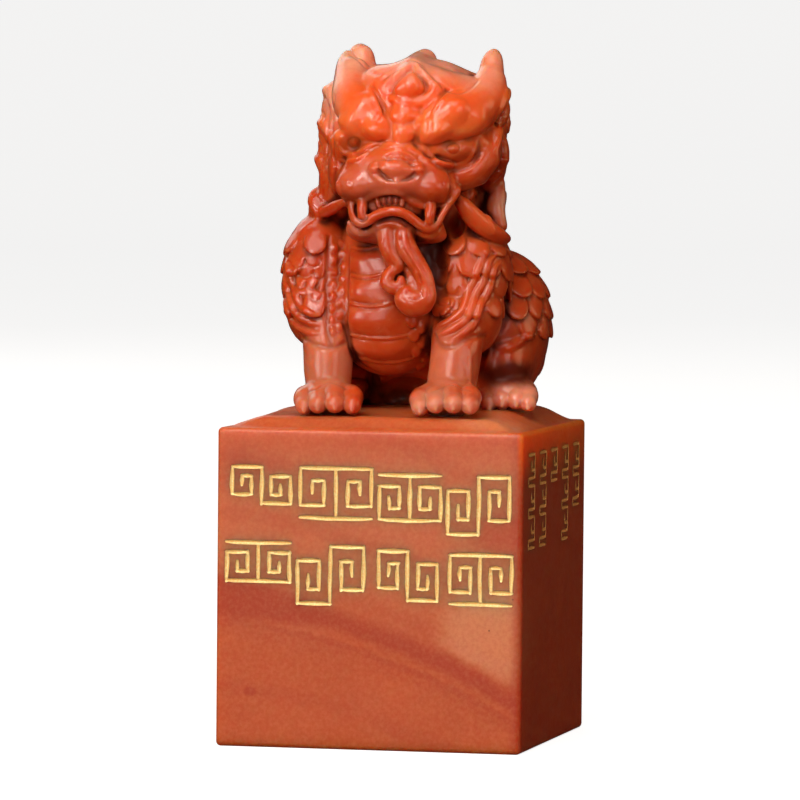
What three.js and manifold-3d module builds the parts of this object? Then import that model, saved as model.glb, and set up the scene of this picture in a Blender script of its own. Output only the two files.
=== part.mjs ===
// Square soapstone seal with a carved guardian beast as its knob, in millimetres, +Z up.
// The origin is the middle of the seal face, the face that prints, and the beast looks along -Y.
// Left and right are as seen by someone who faces the beast: left is -X, right is +X.
import * as THREE from "three";
import { LoftGeometry } from "three/addons/geometries/LoftGeometry.js";
import { mergeVertices } from "three/addons/utils/BufferGeometryUtils.js";
import Module from "manifold-3d";

const wasm = await Module();
wasm.setup();

// ---------------------------------------------------------------- driving dimensions
const BLOCK_SIDE = 30; // width and depth of the square block
const BLOCK_HEIGHT = 30.75; // seal face to the top arris
const ARRIS = 0.45; // softened edges of the block
const MOUND_RISE = 1; // low dressed mound under the beast
const MOUND_INSET = 2.25; // from the block's side to the flat of the mound
const BEAST_BASE = BLOCK_HEIGHT + MOUND_RISE; // plane that the paws stand on
const BEAST_TOP = 67.6; // crown and horn tips
const GROOVE_WIDTH = 0.375; // engraved stroke
const GROOVE_DEPTH = 0.5;
const GILT_DEPTH = 0.1875; // the gilding's surface lies this far under the stone's
const SEAL_RELIEF = 0.75; // cut depth of the seal face
const SEAL_BORDER = 1.25; // width of the border that prints
const SEAL_LINE = 1.0; // width of the lines that print
const CLEARANCE = 0.3; // between neighbouring carved regions
const HALF = BLOCK_SIDE / 2;

// ---------------------------------------------------------------- solids from three.js geometry
function solid(geometry) {
  const g = (
    geometry.index ? geometry.toNonIndexed() : geometry.clone()
  ).deleteAttribute("normal");
  g.deleteAttribute("uv");
  const m = mergeVertices(g, 1e-4);
  return new wasm.Manifold(
    new wasm.Mesh({
      numProp: 3,
      vertProperties: new Float32Array(m.attributes.position.array),
      triVerts: new Uint32Array(m.index.array),
    }),
  );
}

function box(x0, x1, y0, y1, z0, z1) {
  const g = new THREE.BoxGeometry(x1 - x0, y1 - y0, z1 - z0);
  g.translate((x0 + x1) / 2, (y0 + y1) / 2, (z0 + z1) / 2);
  return solid(g);
}

const union = (list) => list.reduce((a, b) => a.add(b));

// An ellipsoid grown by g on every side: centre, radii, and a turn in degrees about X, Y and Z.
function ellipsoid([x, y, z], [rx, ry, rz], turn = [0, 0, 0], across = 12) {
  return (g) => {
    const s = new THREE.SphereGeometry(1, across, Math.round(across * 0.6));
    s.rotateX(Math.PI / 2);
    s.scale(rx + g, ry + g, rz + g);
    s.rotateX((turn[0] * Math.PI) / 180);
    s.rotateY((turn[1] * Math.PI) / 180);
    s.rotateZ((turn[2] * Math.PI) / 180);
    s.translate(x, y, z);
    return solid(s);
  };
}

// A rod of changing thickness along a smooth curve, with blunt ends: points are [x, y, z, radius].
function rod(points, steps = 7, sides = 7) {
  return (g) => {
    const curve = new THREE.CatmullRomCurve3(
      points.map((p) => new THREE.Vector3(p[0], p[1], p[2])),
      false,
      "centripetal",
    );
    const radii = points.map((p) => p[3]);
    const frames = curve.computeFrenetFrames(steps, false);
    const rows = [];
    const ring = (i, r, along) => {
      const c = curve
        .getPointAt(i / steps)
        .addScaledVector(frames.tangents[i], along);
      const row = [];
      for (let k = 0; k < sides; k++) {
        const a = (k / sides) * 2 * Math.PI;
        row.push(
          c
            .clone()
            .addScaledVector(frames.normals[i], Math.cos(a) * r)
            .addScaledVector(frames.binormals[i], Math.sin(a) * r),
        );
      }
      rows.push(row);
    };
    const radiusAt = (t) => {
      const u = curve.getUtoTmapping(t) * (radii.length - 1);
      const k = Math.min(Math.floor(u), radii.length - 2);
      return radii[k] + (radii[k + 1] - radii[k]) * (u - k) + g;
    };
    ring(0, radiusAt(0) * 0.55, -0.75 * radiusAt(0));
    for (let i = 0; i <= steps; i++) ring(i, radiusAt(i / steps), 0);
    ring(steps, radiusAt(1) * 0.55, 0.75 * radiusAt(1));
    let s = solid(new LoftGeometry(rows, { capStart: true, capEnd: true }));
    if (s.volume() < 0)
      s = solid(
        new LoftGeometry(
          rows.map((row) => row.slice().reverse()),
          { capStart: true, capEnd: true },
        ),
      );
    return s;
  };
}

// ---------------------------------------------------------------- ornament of the engraved faces
// Key-fret figures on a grid of 6 by 4: each is one joined run of straight strokes.
const FRET_DOUBLE = [
  [
    [1, 2],
    [1, 3],
    [2, 3],
    [2, 1],
    [0, 1],
    [0, 4],
    [6, 4],
    [6, 1],
    [4, 1],
    [4, 3],
    [5, 3],
    [5, 2],
  ],
  [
    [3, 4],
    [3, 0],
  ],
  [
    [0, 0],
    [6, 0],
  ],
];
const FRET_TURNED = [
  [
    [1, 2],
    [1, 3],
    [2, 3],
    [2, 1],
    [0, 1],
    [0, 4],
    [3, 4],
    [3, 0],
    [6, 0],
    [6, 3],
    [4, 3],
    [4, 1],
    [5, 1],
    [5, 2],
  ],
];
// cell on the front face: x0, x1, z0, z1, figure, mirrored across, mirrored up
const FRONT_CELLS = [
  [-13.5, -7.75, 23.5, 27, FRET_TURNED, false, false],
  [-6.75, 0.25, 22.25, 27, FRET_DOUBLE, false, false],
  [1, 7, 22.25, 26.5, FRET_DOUBLE, false, true],
  [7.75, 13.75, 21, 26.5, FRET_TURNED, true, false],
  [-14, -7.75, 16, 19.75, FRET_DOUBLE, false, true],
  [-7, -0.5, 14, 19.5, FRET_TURNED, true, false],
  [1, 6.75, 14.5, 19.25, FRET_TURNED, false, false],
  [8, 14, 14.25, 19, FRET_DOUBLE, false, false],
];
// column on the right face: y of its middle, top, number of turns of its running fret
const SIDE_COLUMNS = [
  [-10.5, 28.5, 3],
  [-5.25, 28.5, 3],
  [0, 28.5, 1],
  [5.25, 28.5, 3],
  [10.5, 28.5, 2],
];
const SIDE_PITCH = 0.9375; // between the strokes of a running fret

// The strokes of a figure as flat rectangles [u0, u1, v0, v1].
function strokes(paths, at, w) {
  const out = [];
  for (const path of paths)
    for (let i = 1; i < path.length; i++) {
      const [a, b] = [at(path[i - 1]), at(path[i])];
      out.push([
        Math.min(a[0], b[0]) - w / 2,
        Math.max(a[0], b[0]) + w / 2,
        Math.min(a[1], b[1]) - w / 2,
        Math.max(a[1], b[1]) + w / 2,
      ]);
    }
  return out;
}

const snap = (v) => Math.round(v * 64) / 64;
const frontStrokes = FRONT_CELLS.map(([x0, x1, z0, z1, figure, mx, mz]) =>
  strokes(
    figure,
    ([u, v]) => [
      snap(x0 + ((mx ? 6 - u : u) / 6) * (x1 - x0)),
      snap(z0 + ((mz ? 4 - v : v) / 4) * (z1 - z0)),
    ],
    GROOVE_WIDTH,
  ),
);
const sideStrokes = SIDE_COLUMNS.map(([y, top, turns]) => {
  const p = SIDE_PITCH;
  const path = [[-1.5, 0]];
  for (let i = 0; i < turns; i++) {
    const v = -4 * i;
    path.push(
      [1.5, v],
      [1.5, v - 2],
      [0, v - 2],
      [0, v - 1],
      [0, v - 2],
      [1.5, v - 2],
      [1.5, v - 3],
      [-1.5, v - 3],
      [-1.5, v - 4],
    );
  }
  path.push([1.5, -4 * turns]);
  return strokes(
    [path],
    ([u, v]) => [snap(y + u * p), snap(top + v * p * 0.8)],
    GROOVE_WIDTH * 0.75,
  );
});

// ---------------------------------------------------------------- the block
function chamferedBlock() {
  const h = HALF - ARRIS,
    c = ARRIS;
  const s = new THREE.Shape();
  s.moveTo(-h + c, -h);
  s.lineTo(h - c, -h);
  s.lineTo(h, -h + c);
  s.lineTo(h, h - c);
  s.lineTo(h - c, h);
  s.lineTo(-h + c, h);
  s.lineTo(-h, h - c);
  s.lineTo(-h, -h + c);
  s.closePath();
  const g = new THREE.ExtrudeGeometry(s, {
    depth: BLOCK_HEIGHT - 2 * ARRIS,
    bevelEnabled: true,
    bevelThickness: ARRIS,
    bevelSize: ARRIS,
    bevelSegments: 1,
  });
  g.translate(0, 0, ARRIS);
  return solid(g);
}

// The mound under the beast: a low frustum with chamfered corners.
function mound() {
  const ring = (half, z) => {
    const c = half * 0.35;
    return [
      [-half + c, -half],
      [half - c, -half],
      [half, -half + c],
      [half, half - c],
      [half - c, half],
      [-half + c, half],
      [-half, half - c],
      [-half, -half + c],
    ].map(([x, y]) => new THREE.Vector3(x, y, z));
  };
  return solid(
    new LoftGeometry(
      [
        ring(HALF - 2 * ARRIS, BLOCK_HEIGHT - 0.5),
        ring(HALF - 2 * ARRIS, BLOCK_HEIGHT),
        ring(HALF - MOUND_INSET, BEAST_BASE),
      ],
      { capStart: true, capEnd: true },
    ),
  );
}

function sealBlock() {
  let s = chamferedBlock().add(mound());
  const cuts = [];
  for (const list of frontStrokes)
    for (const [x0, x1, z0, z1] of list)
      cuts.push(box(x0, x1, -HALF - 1, -HALF + GROOVE_DEPTH, z0, z1));
  for (const list of sideStrokes)
    for (const [y0, y1, z0, z1] of list)
      cuts.push(box(HALF - GROOVE_DEPTH, HALF + 1, y0, y1, z0, z1));
  s = s.subtract(union(cuts));
  // seal face: the field inside the border is cut back, and the fret's lines stand in it
  const inner = HALF - ARRIS - SEAL_BORDER;
  let field = box(-inner, inner, -inner, inner, -1, SEAL_RELIEF);
  const w = SEAL_LINE / 2;
  const land = [box(-2, 2, -2, 2, -2, SEAL_RELIEF + 1)];
  for (const [sx, sy] of [
    [1, 1],
    [-1, -1],
    [1, -1],
    [-1, 1],
  ]) {
    const path = [
      [2, 2],
      [5, 2],
      [5, 5],
      [2, 5],
      [2, 11],
      [11, 11],
      [11, 2],
      [8, 2],
      [8, 8],
      [5, 8],
    ];
    for (let i = 1; i < path.length; i++) {
      if (path[i][0] === 2 && path[i][1] === 5) continue;
      const [a, b] = [path[i - 1], path[i]];
      const xs = [a[0] * sx, b[0] * sx],
        ys = [a[1] * sy, b[1] * sy];
      land.push(
        box(
          Math.min(...xs) - w,
          Math.max(...xs) + w,
          Math.min(...ys) - w,
          Math.max(...ys) + w,
          -2,
          SEAL_RELIEF + 1,
        ),
      );
    }
  }
  field = field.subtract(union(land));
  return s.subtract(field);
}

// ---------------------------------------------------------------- the beast's carved regions
const BEAST_SPACE = box(-40, 40, -40, 40, BEAST_BASE, 100);

const foreleg = (shoulder, arm, wrist, paw, toes) => [
  ellipsoid(shoulder, [4.1, 4.4, 5.6]),
  ellipsoid(arm, [3.9, 4, 4.4]),
  rod([
    [...arm, 3],
    [wrist[0], wrist[1], wrist[2], 2.5],
    [paw[0], paw[1] + 0.8, paw[2] + 0.6, 2.5],
  ]),
  ellipsoid(paw, [3.5, 3.4, 2]),
  ...toes.map((t) => ellipsoid(t, [1.15, 1.5, 1.35], [0, 0, 0], 8)),
];

const REGIONS = {
  foreleg_left: foreleg(
    [-8.3, -3.2, 44.6],
    [-7.4, -4.4, 41.2],
    [-6.1, -6.6, 36.6],
    [-5.5, -8.6, 32.9],
    [
      [-7.7, -11, 32.6],
      [-5.5, -11.6, 32.7],
      [-3.5, -11, 32.6],
    ],
  ),
  foreleg_right: foreleg(
    [7, -1.8, 45],
    [6.4, -3.6, 41.2],
    [6.4, -6.8, 36.8],
    [6.2, -8.6, 32.9],
    [
      [4.1, -11, 32.6],
      [6.2, -11.7, 32.7],
      [8.2, -11, 32.6],
    ],
  ),
  haunch_left: [
    ellipsoid([-7.4, 5.6, 39.4], [4.6, 6.4, 7.4]),
    ellipsoid([-8.4, 1.4, 33], [2.9, 4.3, 2]),
  ],
  haunch_right: [
    ellipsoid([9, 5, 40.2], [4.9, 6.8, 8]),
    ellipsoid([10.4, 0.2, 33], [2.6, 4.3, 2.1]),
    ...[
      [8.9, -3.2, 32.6],
      [10.6, -3.6, 32.7],
      [12.1, -3, 32.6],
    ].map((t) => ellipsoid(t, [0.95, 1.4, 1.2], [0, 0, 0], 8)),
  ],
  lower_jaw: [
    ellipsoid([0.8, -6.6, 50.3], [4.4, 4, 2.3]),
    ellipsoid([-2.6, -6.2, 50.4], [1.8, 3.2, 2]),
    ellipsoid([4.3, -5.8, 49.9], [2.1, 3.2, 2.2]),
  ],
  horn_left: [
    rod([
      [-5.2, -3.2, 61.2, 2.5],
      [-6.3, -1.6, 63.9, 1.9],
      [-6, 0, BEAST_TOP - 1.9, 1.3],
      [-4.9, 0.4, BEAST_TOP - 0.28, 0.5],
    ]),
  ],
  horn_right: [
    rod([
      [7.6, -2.8, 61.2, 2.5],
      [8.5, -1.2, 63.6, 1.9],
      [8.6, 0, BEAST_TOP - 2.1, 1.2],
      [8.6, 0.3, BEAST_TOP - 0.6, 0.5],
    ]),
  ],
  beard: [
    rod([
      [0.7, -8.2, 47.8, 1.4],
      [1.2, -8.6, 46, 1.3],
      [2.9, -9, 44.6, 1.3],
      [3.6, -9.2, 43.4, 1.5],
    ]),
    ellipsoid([3, -9.2, 42.6], [1.8, 1.7, 1.7]),
  ],
  whisker_left: [
    rod([
      [-4.9, -5.6, 52.4, 0.8],
      [-5.9, -4.2, 51, 0.9],
      [-7, -2.4, 49.9, 0.9],
      [-8.3, 0.2, 49.6, 0.7],
    ]),
  ],
  whisker_right: [
    rod([
      [6.6, -5.8, 52.6, 0.8],
      [7.4, -4.3, 51, 0.9],
      [8.4, -2.8, 49.7, 0.9],
      [9.7, 0.4, 49, 0.7],
    ]),
  ],
  beast_head: [
    ellipsoid([0.9, -1.6, 58.8], [8.2, 6.6, 7.4], [0, 0, 0], 14),
    ellipsoid([1.7, -6.8, 54.6], [5.9, 4.6, 3.3], [0, 0, 0], 14),
    ellipsoid([1.9, -10.6, 55.6], [2.4, 1.5, 1.1]),
    ellipsoid([-2.9, -6.2, 60.4], [3.3, 2.6, 2.2], [0, 20, 0]),
    ellipsoid([6.1, -5.6, 60.4], [3.3, 2.6, 2.2], [0, -20, 0]),
    ellipsoid([1.6, -5, 63], [3.2, 2.8, 2.6]),
  ],
  spine_ridge: [
    rod(
      [
        [1.2, -2, 65.6, 1.2],
        [1.1, 2.5, 65.7, 1.5],
        [1, 7, 62.8, 1.6],
        [0.9, 9.6, 57.6, 1.6],
        [0.9, 10.2, 52.6, 1.5],
        [0.9, 11.2, 47.6, 1.4],
      ],
      10,
    ),
  ],
  mane: [
    ellipsoid([0.4, 4.4, 57.6], [9, 5.2, 7.6], [0, 0, 0], 14),
    ellipsoid([-5.2, 3.2, 52.6], [4, 4.6, 4.6]),
    ellipsoid([6.4, 3.4, 52.6], [4, 4.6, 4.6]),
  ],
  tail: [
    rod(
      [
        [0.8, 10.8, 33.4, 1.6],
        [2.6, 11.8, 37, 2],
        [1.4, 12, 41, 2.1],
        [-0.4, 11.6, 44.4, 1.3],
      ],
      9,
    ),
  ],
  beast_torso: [
    ellipsoid([0, -1.4, 44.6], [8.2, 6.6, 8.2], [0, 0, 0], 16),
    ellipsoid([-0.9, -3.4, 42], [5.8, 4.8, 6.4], [0, 0, 0], 14),
    ellipsoid([0.9, 5.6, 39.6], [8.6, 6.8, 7.8], [0, 0, 0], 16),
    ellipsoid([0.9, 0, 50.8], [7, 6.2, 5.6], [0, 0, 0], 14),
    ellipsoid([0.9, 5, 46.6], [7.4, 6, 7], [0, 0, 0], 14),
    ellipsoid([0.9, 4.4, 34], [6.8, 6.4, 4.6]),
  ],
};

const grown = (name, g) => union(REGIONS[name].map((make) => make(g)));

// Each region gives way, by the clearance, to the ones listed before it.
function carve() {
  const names = Object.keys(REGIONS);
  const out = {};
  names.forEach((name, i) => {
    let s = grown(name, 0).intersect(BEAST_SPACE);
    for (const other of names.slice(0, i)) {
      const o = grown(other, CLEARANCE);
      const [a, b] = [s.boundingBox(), o.boundingBox()];
      if ([0, 1, 2].some((k) => a.min[k] > b.max[k] || b.min[k] > a.max[k]))
        continue;
      s = s.subtract(o);
    }
    const bodies = s.decompose().sort((p, q) => q.volume() - p.volume());
    out[name] = bodies[0].simplify(0.06);
  });
  return out;
}

// ---------------------------------------------------------------- the scene graph
const seal = new THREE.Group();
seal.name = "seal_stamp";

const stone = (color) =>
  new THREE.MeshStandardMaterial({ color, roughness: 0.32, metalness: 0 });
const FINISH = {
  block: stone(0xb8583a),
  beast: stone(0xbe3c19),
  horn: stone(0xd98a6a),
  gilt: new THREE.MeshStandardMaterial({
    color: 0xe0ad3c,
    roughness: 0.35,
    metalness: 1,
  }),
  dull_gilt: new THREE.MeshStandardMaterial({
    color: 0x9a6a2c,
    roughness: 0.5,
    metalness: 0.8,
  }),
};

function add(name, s, finish, parent = seal) {
  const m = s.getMesh();
  const v = new Float32Array(m.numVert * 3);
  for (let i = 0; i < m.numVert; i++)
    v.set(m.vertProperties.subarray(i * m.numProp, i * m.numProp + 3), i * 3);
  const g = new THREE.BufferGeometry();
  g.setAttribute("position", new THREE.BufferAttribute(v, 3));
  g.setIndex(new THREE.BufferAttribute(new Uint32Array(m.triVerts), 1));
  g.computeVertexNormals();
  const mesh = new THREE.Mesh(g, FINISH[finish]);
  mesh.name = name;
  parent.add(mesh);
}

add("seal_block", sealBlock(), "block");

const gilding = new THREE.Group();
gilding.name = "gilding";
seal.add(gilding);
frontStrokes.forEach((list, i) =>
  add(
    `gilt_front_${i + 1}`,
    union(
      list.map(([x0, x1, z0, z1]) =>
        box(x0, x1, -HALF + GILT_DEPTH, -HALF + GROOVE_DEPTH, z0, z1),
      ),
    ),
    "gilt",
    gilding,
  ),
);
sideStrokes.forEach((list, i) =>
  add(
    `gilt_side_${i + 1}`,
    union(
      list.map(([y0, y1, z0, z1]) =>
        box(HALF - GROOVE_DEPTH, HALF - GILT_DEPTH, y0, y1, z0, z1),
      ),
    ),
    "dull_gilt",
    gilding,
  ),
);

const beast = new THREE.Group();
beast.name = "beast";
seal.add(beast);
for (const [name, s] of Object.entries(carve()))
  add(name, s, name.startsWith("horn") ? "horn" : "beast", beast);

export default seal;
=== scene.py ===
"""Square soapstone seal with a carved seated guardian beast and gilt key-fret engraving.

Everything is built in millimetres and turned into metres when it becomes a mesh.
The beast is modelled on a grid of distances, the way clay is: forms are added, cut and drawn on its skin.
"""

import bpy
import numpy as np
from mathutils import Matrix, Vector
from mathutils.geometry import delaunay_2d_cdt


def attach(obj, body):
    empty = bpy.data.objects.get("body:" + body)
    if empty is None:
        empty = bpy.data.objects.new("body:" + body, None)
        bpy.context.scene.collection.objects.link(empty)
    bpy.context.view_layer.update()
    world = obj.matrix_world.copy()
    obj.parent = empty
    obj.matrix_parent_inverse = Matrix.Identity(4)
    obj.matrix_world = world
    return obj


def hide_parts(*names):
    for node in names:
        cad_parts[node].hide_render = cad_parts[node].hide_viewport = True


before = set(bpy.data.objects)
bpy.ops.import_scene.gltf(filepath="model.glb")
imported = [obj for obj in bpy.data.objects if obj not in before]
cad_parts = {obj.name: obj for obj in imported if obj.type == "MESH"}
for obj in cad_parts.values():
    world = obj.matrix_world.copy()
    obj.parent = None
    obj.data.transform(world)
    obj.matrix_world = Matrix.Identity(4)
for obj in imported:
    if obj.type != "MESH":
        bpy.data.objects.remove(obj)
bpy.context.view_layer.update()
MM = 0.001


# ------------------------------------------------------------ viewing direction of the photograph
A, E, ROLL = np.radians(13.026), np.radians(2.658), np.radians(0.518)
DIST, FOC = 655.99, 6709.85
BACK = np.array([np.sin(A) * np.cos(E), -np.cos(A) * np.cos(E), np.sin(E)])
_rt = np.array([np.cos(A), np.sin(A), 0.0])
_up = np.cross(BACK, _rt)
RT = _rt * np.cos(ROLL) + _up * np.sin(ROLL)
UP = -_rt * np.sin(ROLL) + _up * np.cos(ROLL)
CAM = np.array([0, 0, 33.0]) - 0.478 * RT - 0.008 * UP + BACK * DIST


def ray(px, py):
    d = -BACK + RT * (px - 400) / FOC + UP * (400 - py) / FOC
    return d / np.linalg.norm(d)


def P(px, py, y):
    """The point of the plane Y = y that shows at a pixel."""
    d = ray(px, py)
    return CAM + d * ((y - CAM[1]) / d[1])


def rot(ax, ay, az):
    ax, ay, az = np.radians([ax, ay, az])
    cx, sx, cy, sy, cz, sz = np.cos(ax), np.sin(ax), np.cos(ay), np.sin(ay), np.cos(az), np.sin(az)
    X = np.array([[1, 0, 0], [0, cx, -sx], [0, sx, cx]])
    Y = np.array([[cy, 0, sy], [0, 1, 0], [-sy, 0, cy]])
    Z = np.array([[cz, -sz, 0], [sz, cz, 0], [0, 0, 1]])
    return Z @ Y @ X


def spline(pts, step=0.35):
    """Centripetal-like Catmull-Rom through rows of any width (position and radius), resampled."""
    p = np.asarray(pts, float)
    if len(p) == 2:
        n = max(2, int(np.linalg.norm(p[1, :3] - p[0, :3]) / step) + 1)
        t = np.linspace(0, 1, n)[:, None]
        return p[0] * (1 - t) + p[1] * t
    q = np.vstack([2 * p[0] - p[1], p, 2 * p[-1] - p[-2]])
    out = []
    for i in range(1, len(q) - 2):
        n = max(2, int(np.linalg.norm(q[i + 1, :3] - q[i, :3]) / step) + 1)
        t = np.linspace(0, 1, n, endpoint=False)[:, None]
        a, b, c, d = q[i - 1], q[i], q[i + 1], q[i + 2]
        out.append(0.5 * ((2 * b) + (c - a) * t + (2 * a - 5 * b + 4 * c - d) * t**2 + (3 * b - a - 3 * c + d) * t**3))
    out.append(p[-1:])
    r = np.vstack(out)
    return r


def smin(a, b, k):
    if k <= 0:
        return np.minimum(a, b)
    h = np.maximum(k - np.abs(a - b), 0) / k
    return np.minimum(a, b) - h * h * (k * 0.25)


class Clay:
    def __init__(self, lo, hi, h):
        self.lo = np.array(lo, float)
        self.h = float(h)
        self.n = np.ceil((np.array(hi) - self.lo) / h).astype(int) + 1
        self.D = np.full(self.n, 3.0, np.float32)
        self.ax = [(self.lo[i] + h * np.arange(self.n[i])).astype(np.float32) for i in range(3)]

    def window(self, lo, hi):
        i0 = np.maximum(np.floor((np.asarray(lo) - self.lo) / self.h).astype(int), 0)
        i1 = np.minimum(np.ceil((np.asarray(hi) - self.lo) / self.h).astype(int) + 1, self.n)
        if (i1 <= i0).any():
            return None
        s = tuple(slice(a, b) for a, b in zip(i0, i1))
        return s, self.ax[0][s[0]][:, None, None], self.ax[1][s[1]][None, :, None], self.ax[2][s[2]][None, None, :]

    def put(self, s, d, k, mode):
        D = self.D[s]
        if mode == "add":
            self.D[s] = smin(D, d, k)
        elif mode == "cut":
            self.D[s] = -smin(-D, d, k)
        elif mode == "keep":
            self.D[s] = -smin(-D, -d, k)

    # -------- forms
    def ball(self, c, r, k=0.6, turn=None, mode="add", grow=0.0):
        """Ellipsoid with centre c, radii r, turned by a rotation matrix or three angles."""
        c = np.asarray(c, float)
        r = np.full(3, float(r)) if np.isscalar(r) else np.asarray(r, float)
        r = r + grow
        R = np.eye(3) if turn is None else (rot(*turn) if len(np.shape(turn)) == 1 else np.asarray(turn))
        ext = np.sqrt(((R * r) ** 2).sum(1)) + k + 2 * self.h
        w = self.window(c - ext, c + ext)
        if w is None:
            return
        s, X, Y, Z = w
        dx, dy, dz = X - c[0], Y - c[1], Z - c[2]
        if turn is None:
            q = (dx, dy, dz)
        else:
            q = tuple(dx * R[0, i] + dy * R[1, i] + dz * R[2, i] for i in range(3))
        u = [np.float32(1 / v) for v in r]
        k0 = np.sqrt((q[0] * u[0]) ** 2 + (q[1] * u[1]) ** 2 + (q[2] * u[2]) ** 2)
        k1 = np.sqrt((q[0] * u[0] ** 2) ** 2 + (q[1] * u[1] ** 2) ** 2 + (q[2] * u[2] ** 2) ** 2) + 1e-6
        self.put(s, (k0 * (k0 - 1) / k1).astype(np.float32), k, mode)

    def rod(self, pts, k=0.4, mode="add", flat=None, squash=1.0, step=None, smooth=True):
        """Rod of changing radius through rows [x, y, z, r]; flat and squash press it along a direction."""
        p = np.asarray(pts, float)
        if smooth:
            p = spline(p, step or max(0.25, self.h * 1.6))
        pos, r = p[:, :3], p[:, 3]
        pad = r.max() * max(1.0, 1.0) + k + 2 * self.h
        w = self.window(pos.min(0) - pad, pos.max(0) + pad)
        if w is None:
            return
        s = w[0]
        d = np.full(self.D[s].shape, 9.0, np.float32)
        off = np.array([a.start for a in s])
        if flat is not None:
            n = np.asarray(flat, float)
            n = n / np.linalg.norm(n)
            g = 1.0 / squash - 1.0
        for a, b, ra, rb in zip(pos[:-1], pos[1:], r[:-1], r[1:]):
            m = max(ra, rb) + k + 1.5 * self.h
            ww = self.window(np.minimum(a, b) - m, np.maximum(a, b) + m)
            if ww is None:
                continue
            t, X, Y, Z = ww
            dx, dy, dz = X - np.float32(a[0]), Y - np.float32(a[1]), Z - np.float32(a[2])
            ba = (b - a).astype(np.float32)
            if flat is not None:
                e = (dx * n[0] + dy * n[1] + dz * n[2]) * g
                dx, dy, dz = dx + e * n[0], dy + e * n[1], dz + e * n[2]
                ba = ba + float(ba @ n) * g * n
            L = float(ba @ ba) + 1e-9
            u = np.clip((dx * ba[0] + dy * ba[1] + dz * ba[2]) / L, 0, 1)
            dd = np.sqrt((dx - u * ba[0]) ** 2 + (dy - u * ba[1]) ** 2 + (dz - u * ba[2]) ** 2) - (ra + (rb - ra) * u)
            if flat is not None:
                dd = dd * (0.5 + 0.5 * squash)
            o = tuple(slice(v.start - q, v.stop - q) for v, q in zip(t, off))
            d[o] = np.minimum(d[o], dd.astype(np.float32))
        self.put(s, d, k, mode)

    # -------- touching the surface
    def sample(self, p):
        q = (np.asarray(p, float) - self.lo) / self.h
        i = np.floor(q).astype(int)
        np.clip(i, 0, self.n - 2, out=i)
        f = np.clip(q - i, 0, 1)
        D = self.D.reshape(-1)
        sx, sy = int(self.n[1] * self.n[2]), int(self.n[2])
        b = i[..., 0] * sx + i[..., 1] * sy + i[..., 2]
        fx, fy, fz = f[..., 0], f[..., 1], f[..., 2]
        c00 = D[b] * (1 - fz) + D[b + 1] * fz
        c01 = D[b + sy] * (1 - fz) + D[b + sy + 1] * fz
        c10 = D[b + sx] * (1 - fz) + D[b + sx + 1] * fz
        c11 = D[b + sx + sy] * (1 - fz) + D[b + sx + sy + 1] * fz
        return (c00 * (1 - fy) + c01 * fy) * (1 - fx) + (c10 * (1 - fy) + c11 * fy) * fx

    def normal(self, p, e=None):
        e = e or 0.8 * self.h + 0.1
        p = np.asarray(p, float)
        g = np.stack([self.sample(p + e * v) - self.sample(p - e * v) for v in np.eye(3)], -1)
        return g / (np.linalg.norm(g, axis=-1, keepdims=True) + 1e-9)

    def march(self, o, d, far=60.0, step=0.6):
        """First hit along rays o + t d; where nothing is hit, the last point."""
        o, d = np.atleast_2d(o).astype(float), np.atleast_2d(d).astype(float)
        t = np.zeros(len(o))
        hit = np.zeros(len(o), bool)
        act = np.arange(len(o))
        for _ in range(400):
            v = self.sample(o[act] + d[act] * t[act, None])
            done = v < 0.004
            hit[act[done]] = True
            t[act[~done]] += np.clip(v[~done] * step, 0.02, 0.8)
            act = act[(~done) & (t[act] < far)]
            if not len(act):
                break
        return o + d * t[:, None], hit

    def on(self, px, py, lift=0.0):
        """The point of the clay that shows at a pixel, lifted along its normal."""
        d = ray(px, py)
        o = P(px, py, -15.5)
        p, hit = self.march(o, d)
        p = p[0]
        if not hit[0]:
            return None
        if lift:
            p = p + self.normal(p, 0.35) * lift
        return p

    def line(self, pix, r, lift=0.0, follow=True):
        """Rows [x, y, z, r] along pixels [(px, py) or (px, py, r)] laid on the clay."""
        rows = []
        for q in pix:
            p = self.on(q[0], q[1], lift)
            if p is None:
                continue
            rows.append([*p, q[2] if len(q) > 2 else r])
        return rows

    def ridge(self, pix, r=0.25, lift=0.0, k=0.25):
        dense = spline([(q[0], q[1], 0, q[2] if len(q) > 2 else r) for q in pix], 5.0)
        for rows in self.runs(self.line([(a[0], a[1], max(a[3], 0.04)) for a in dense], r, lift)):
            self.rod(rows, k, smooth=False)

    def runs(self, rows, gap=1.1):
        """Split a line where it jumps from one body to another behind it."""
        out, cur = [], []
        for q in rows:
            if cur and np.linalg.norm(np.subtract(q[:3], cur[-1][:3])) > gap:
                out.append(cur)
                cur = []
            cur.append(q)
        out.append(cur)
        return [k for k in out if len(k) > 1]

    def groove(self, pix, r=0.2, lift=0.05, k=0.2):
        dense = spline([(q[0], q[1], 0, q[2] if len(q) > 2 else r) for q in pix], 5.0)
        for rows in self.runs(self.line([(a[0], a[1], max(a[3], 0.04)) for a in dense], r, lift)):
            self.rod(rows, k, mode="cut", smooth=False)

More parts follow.
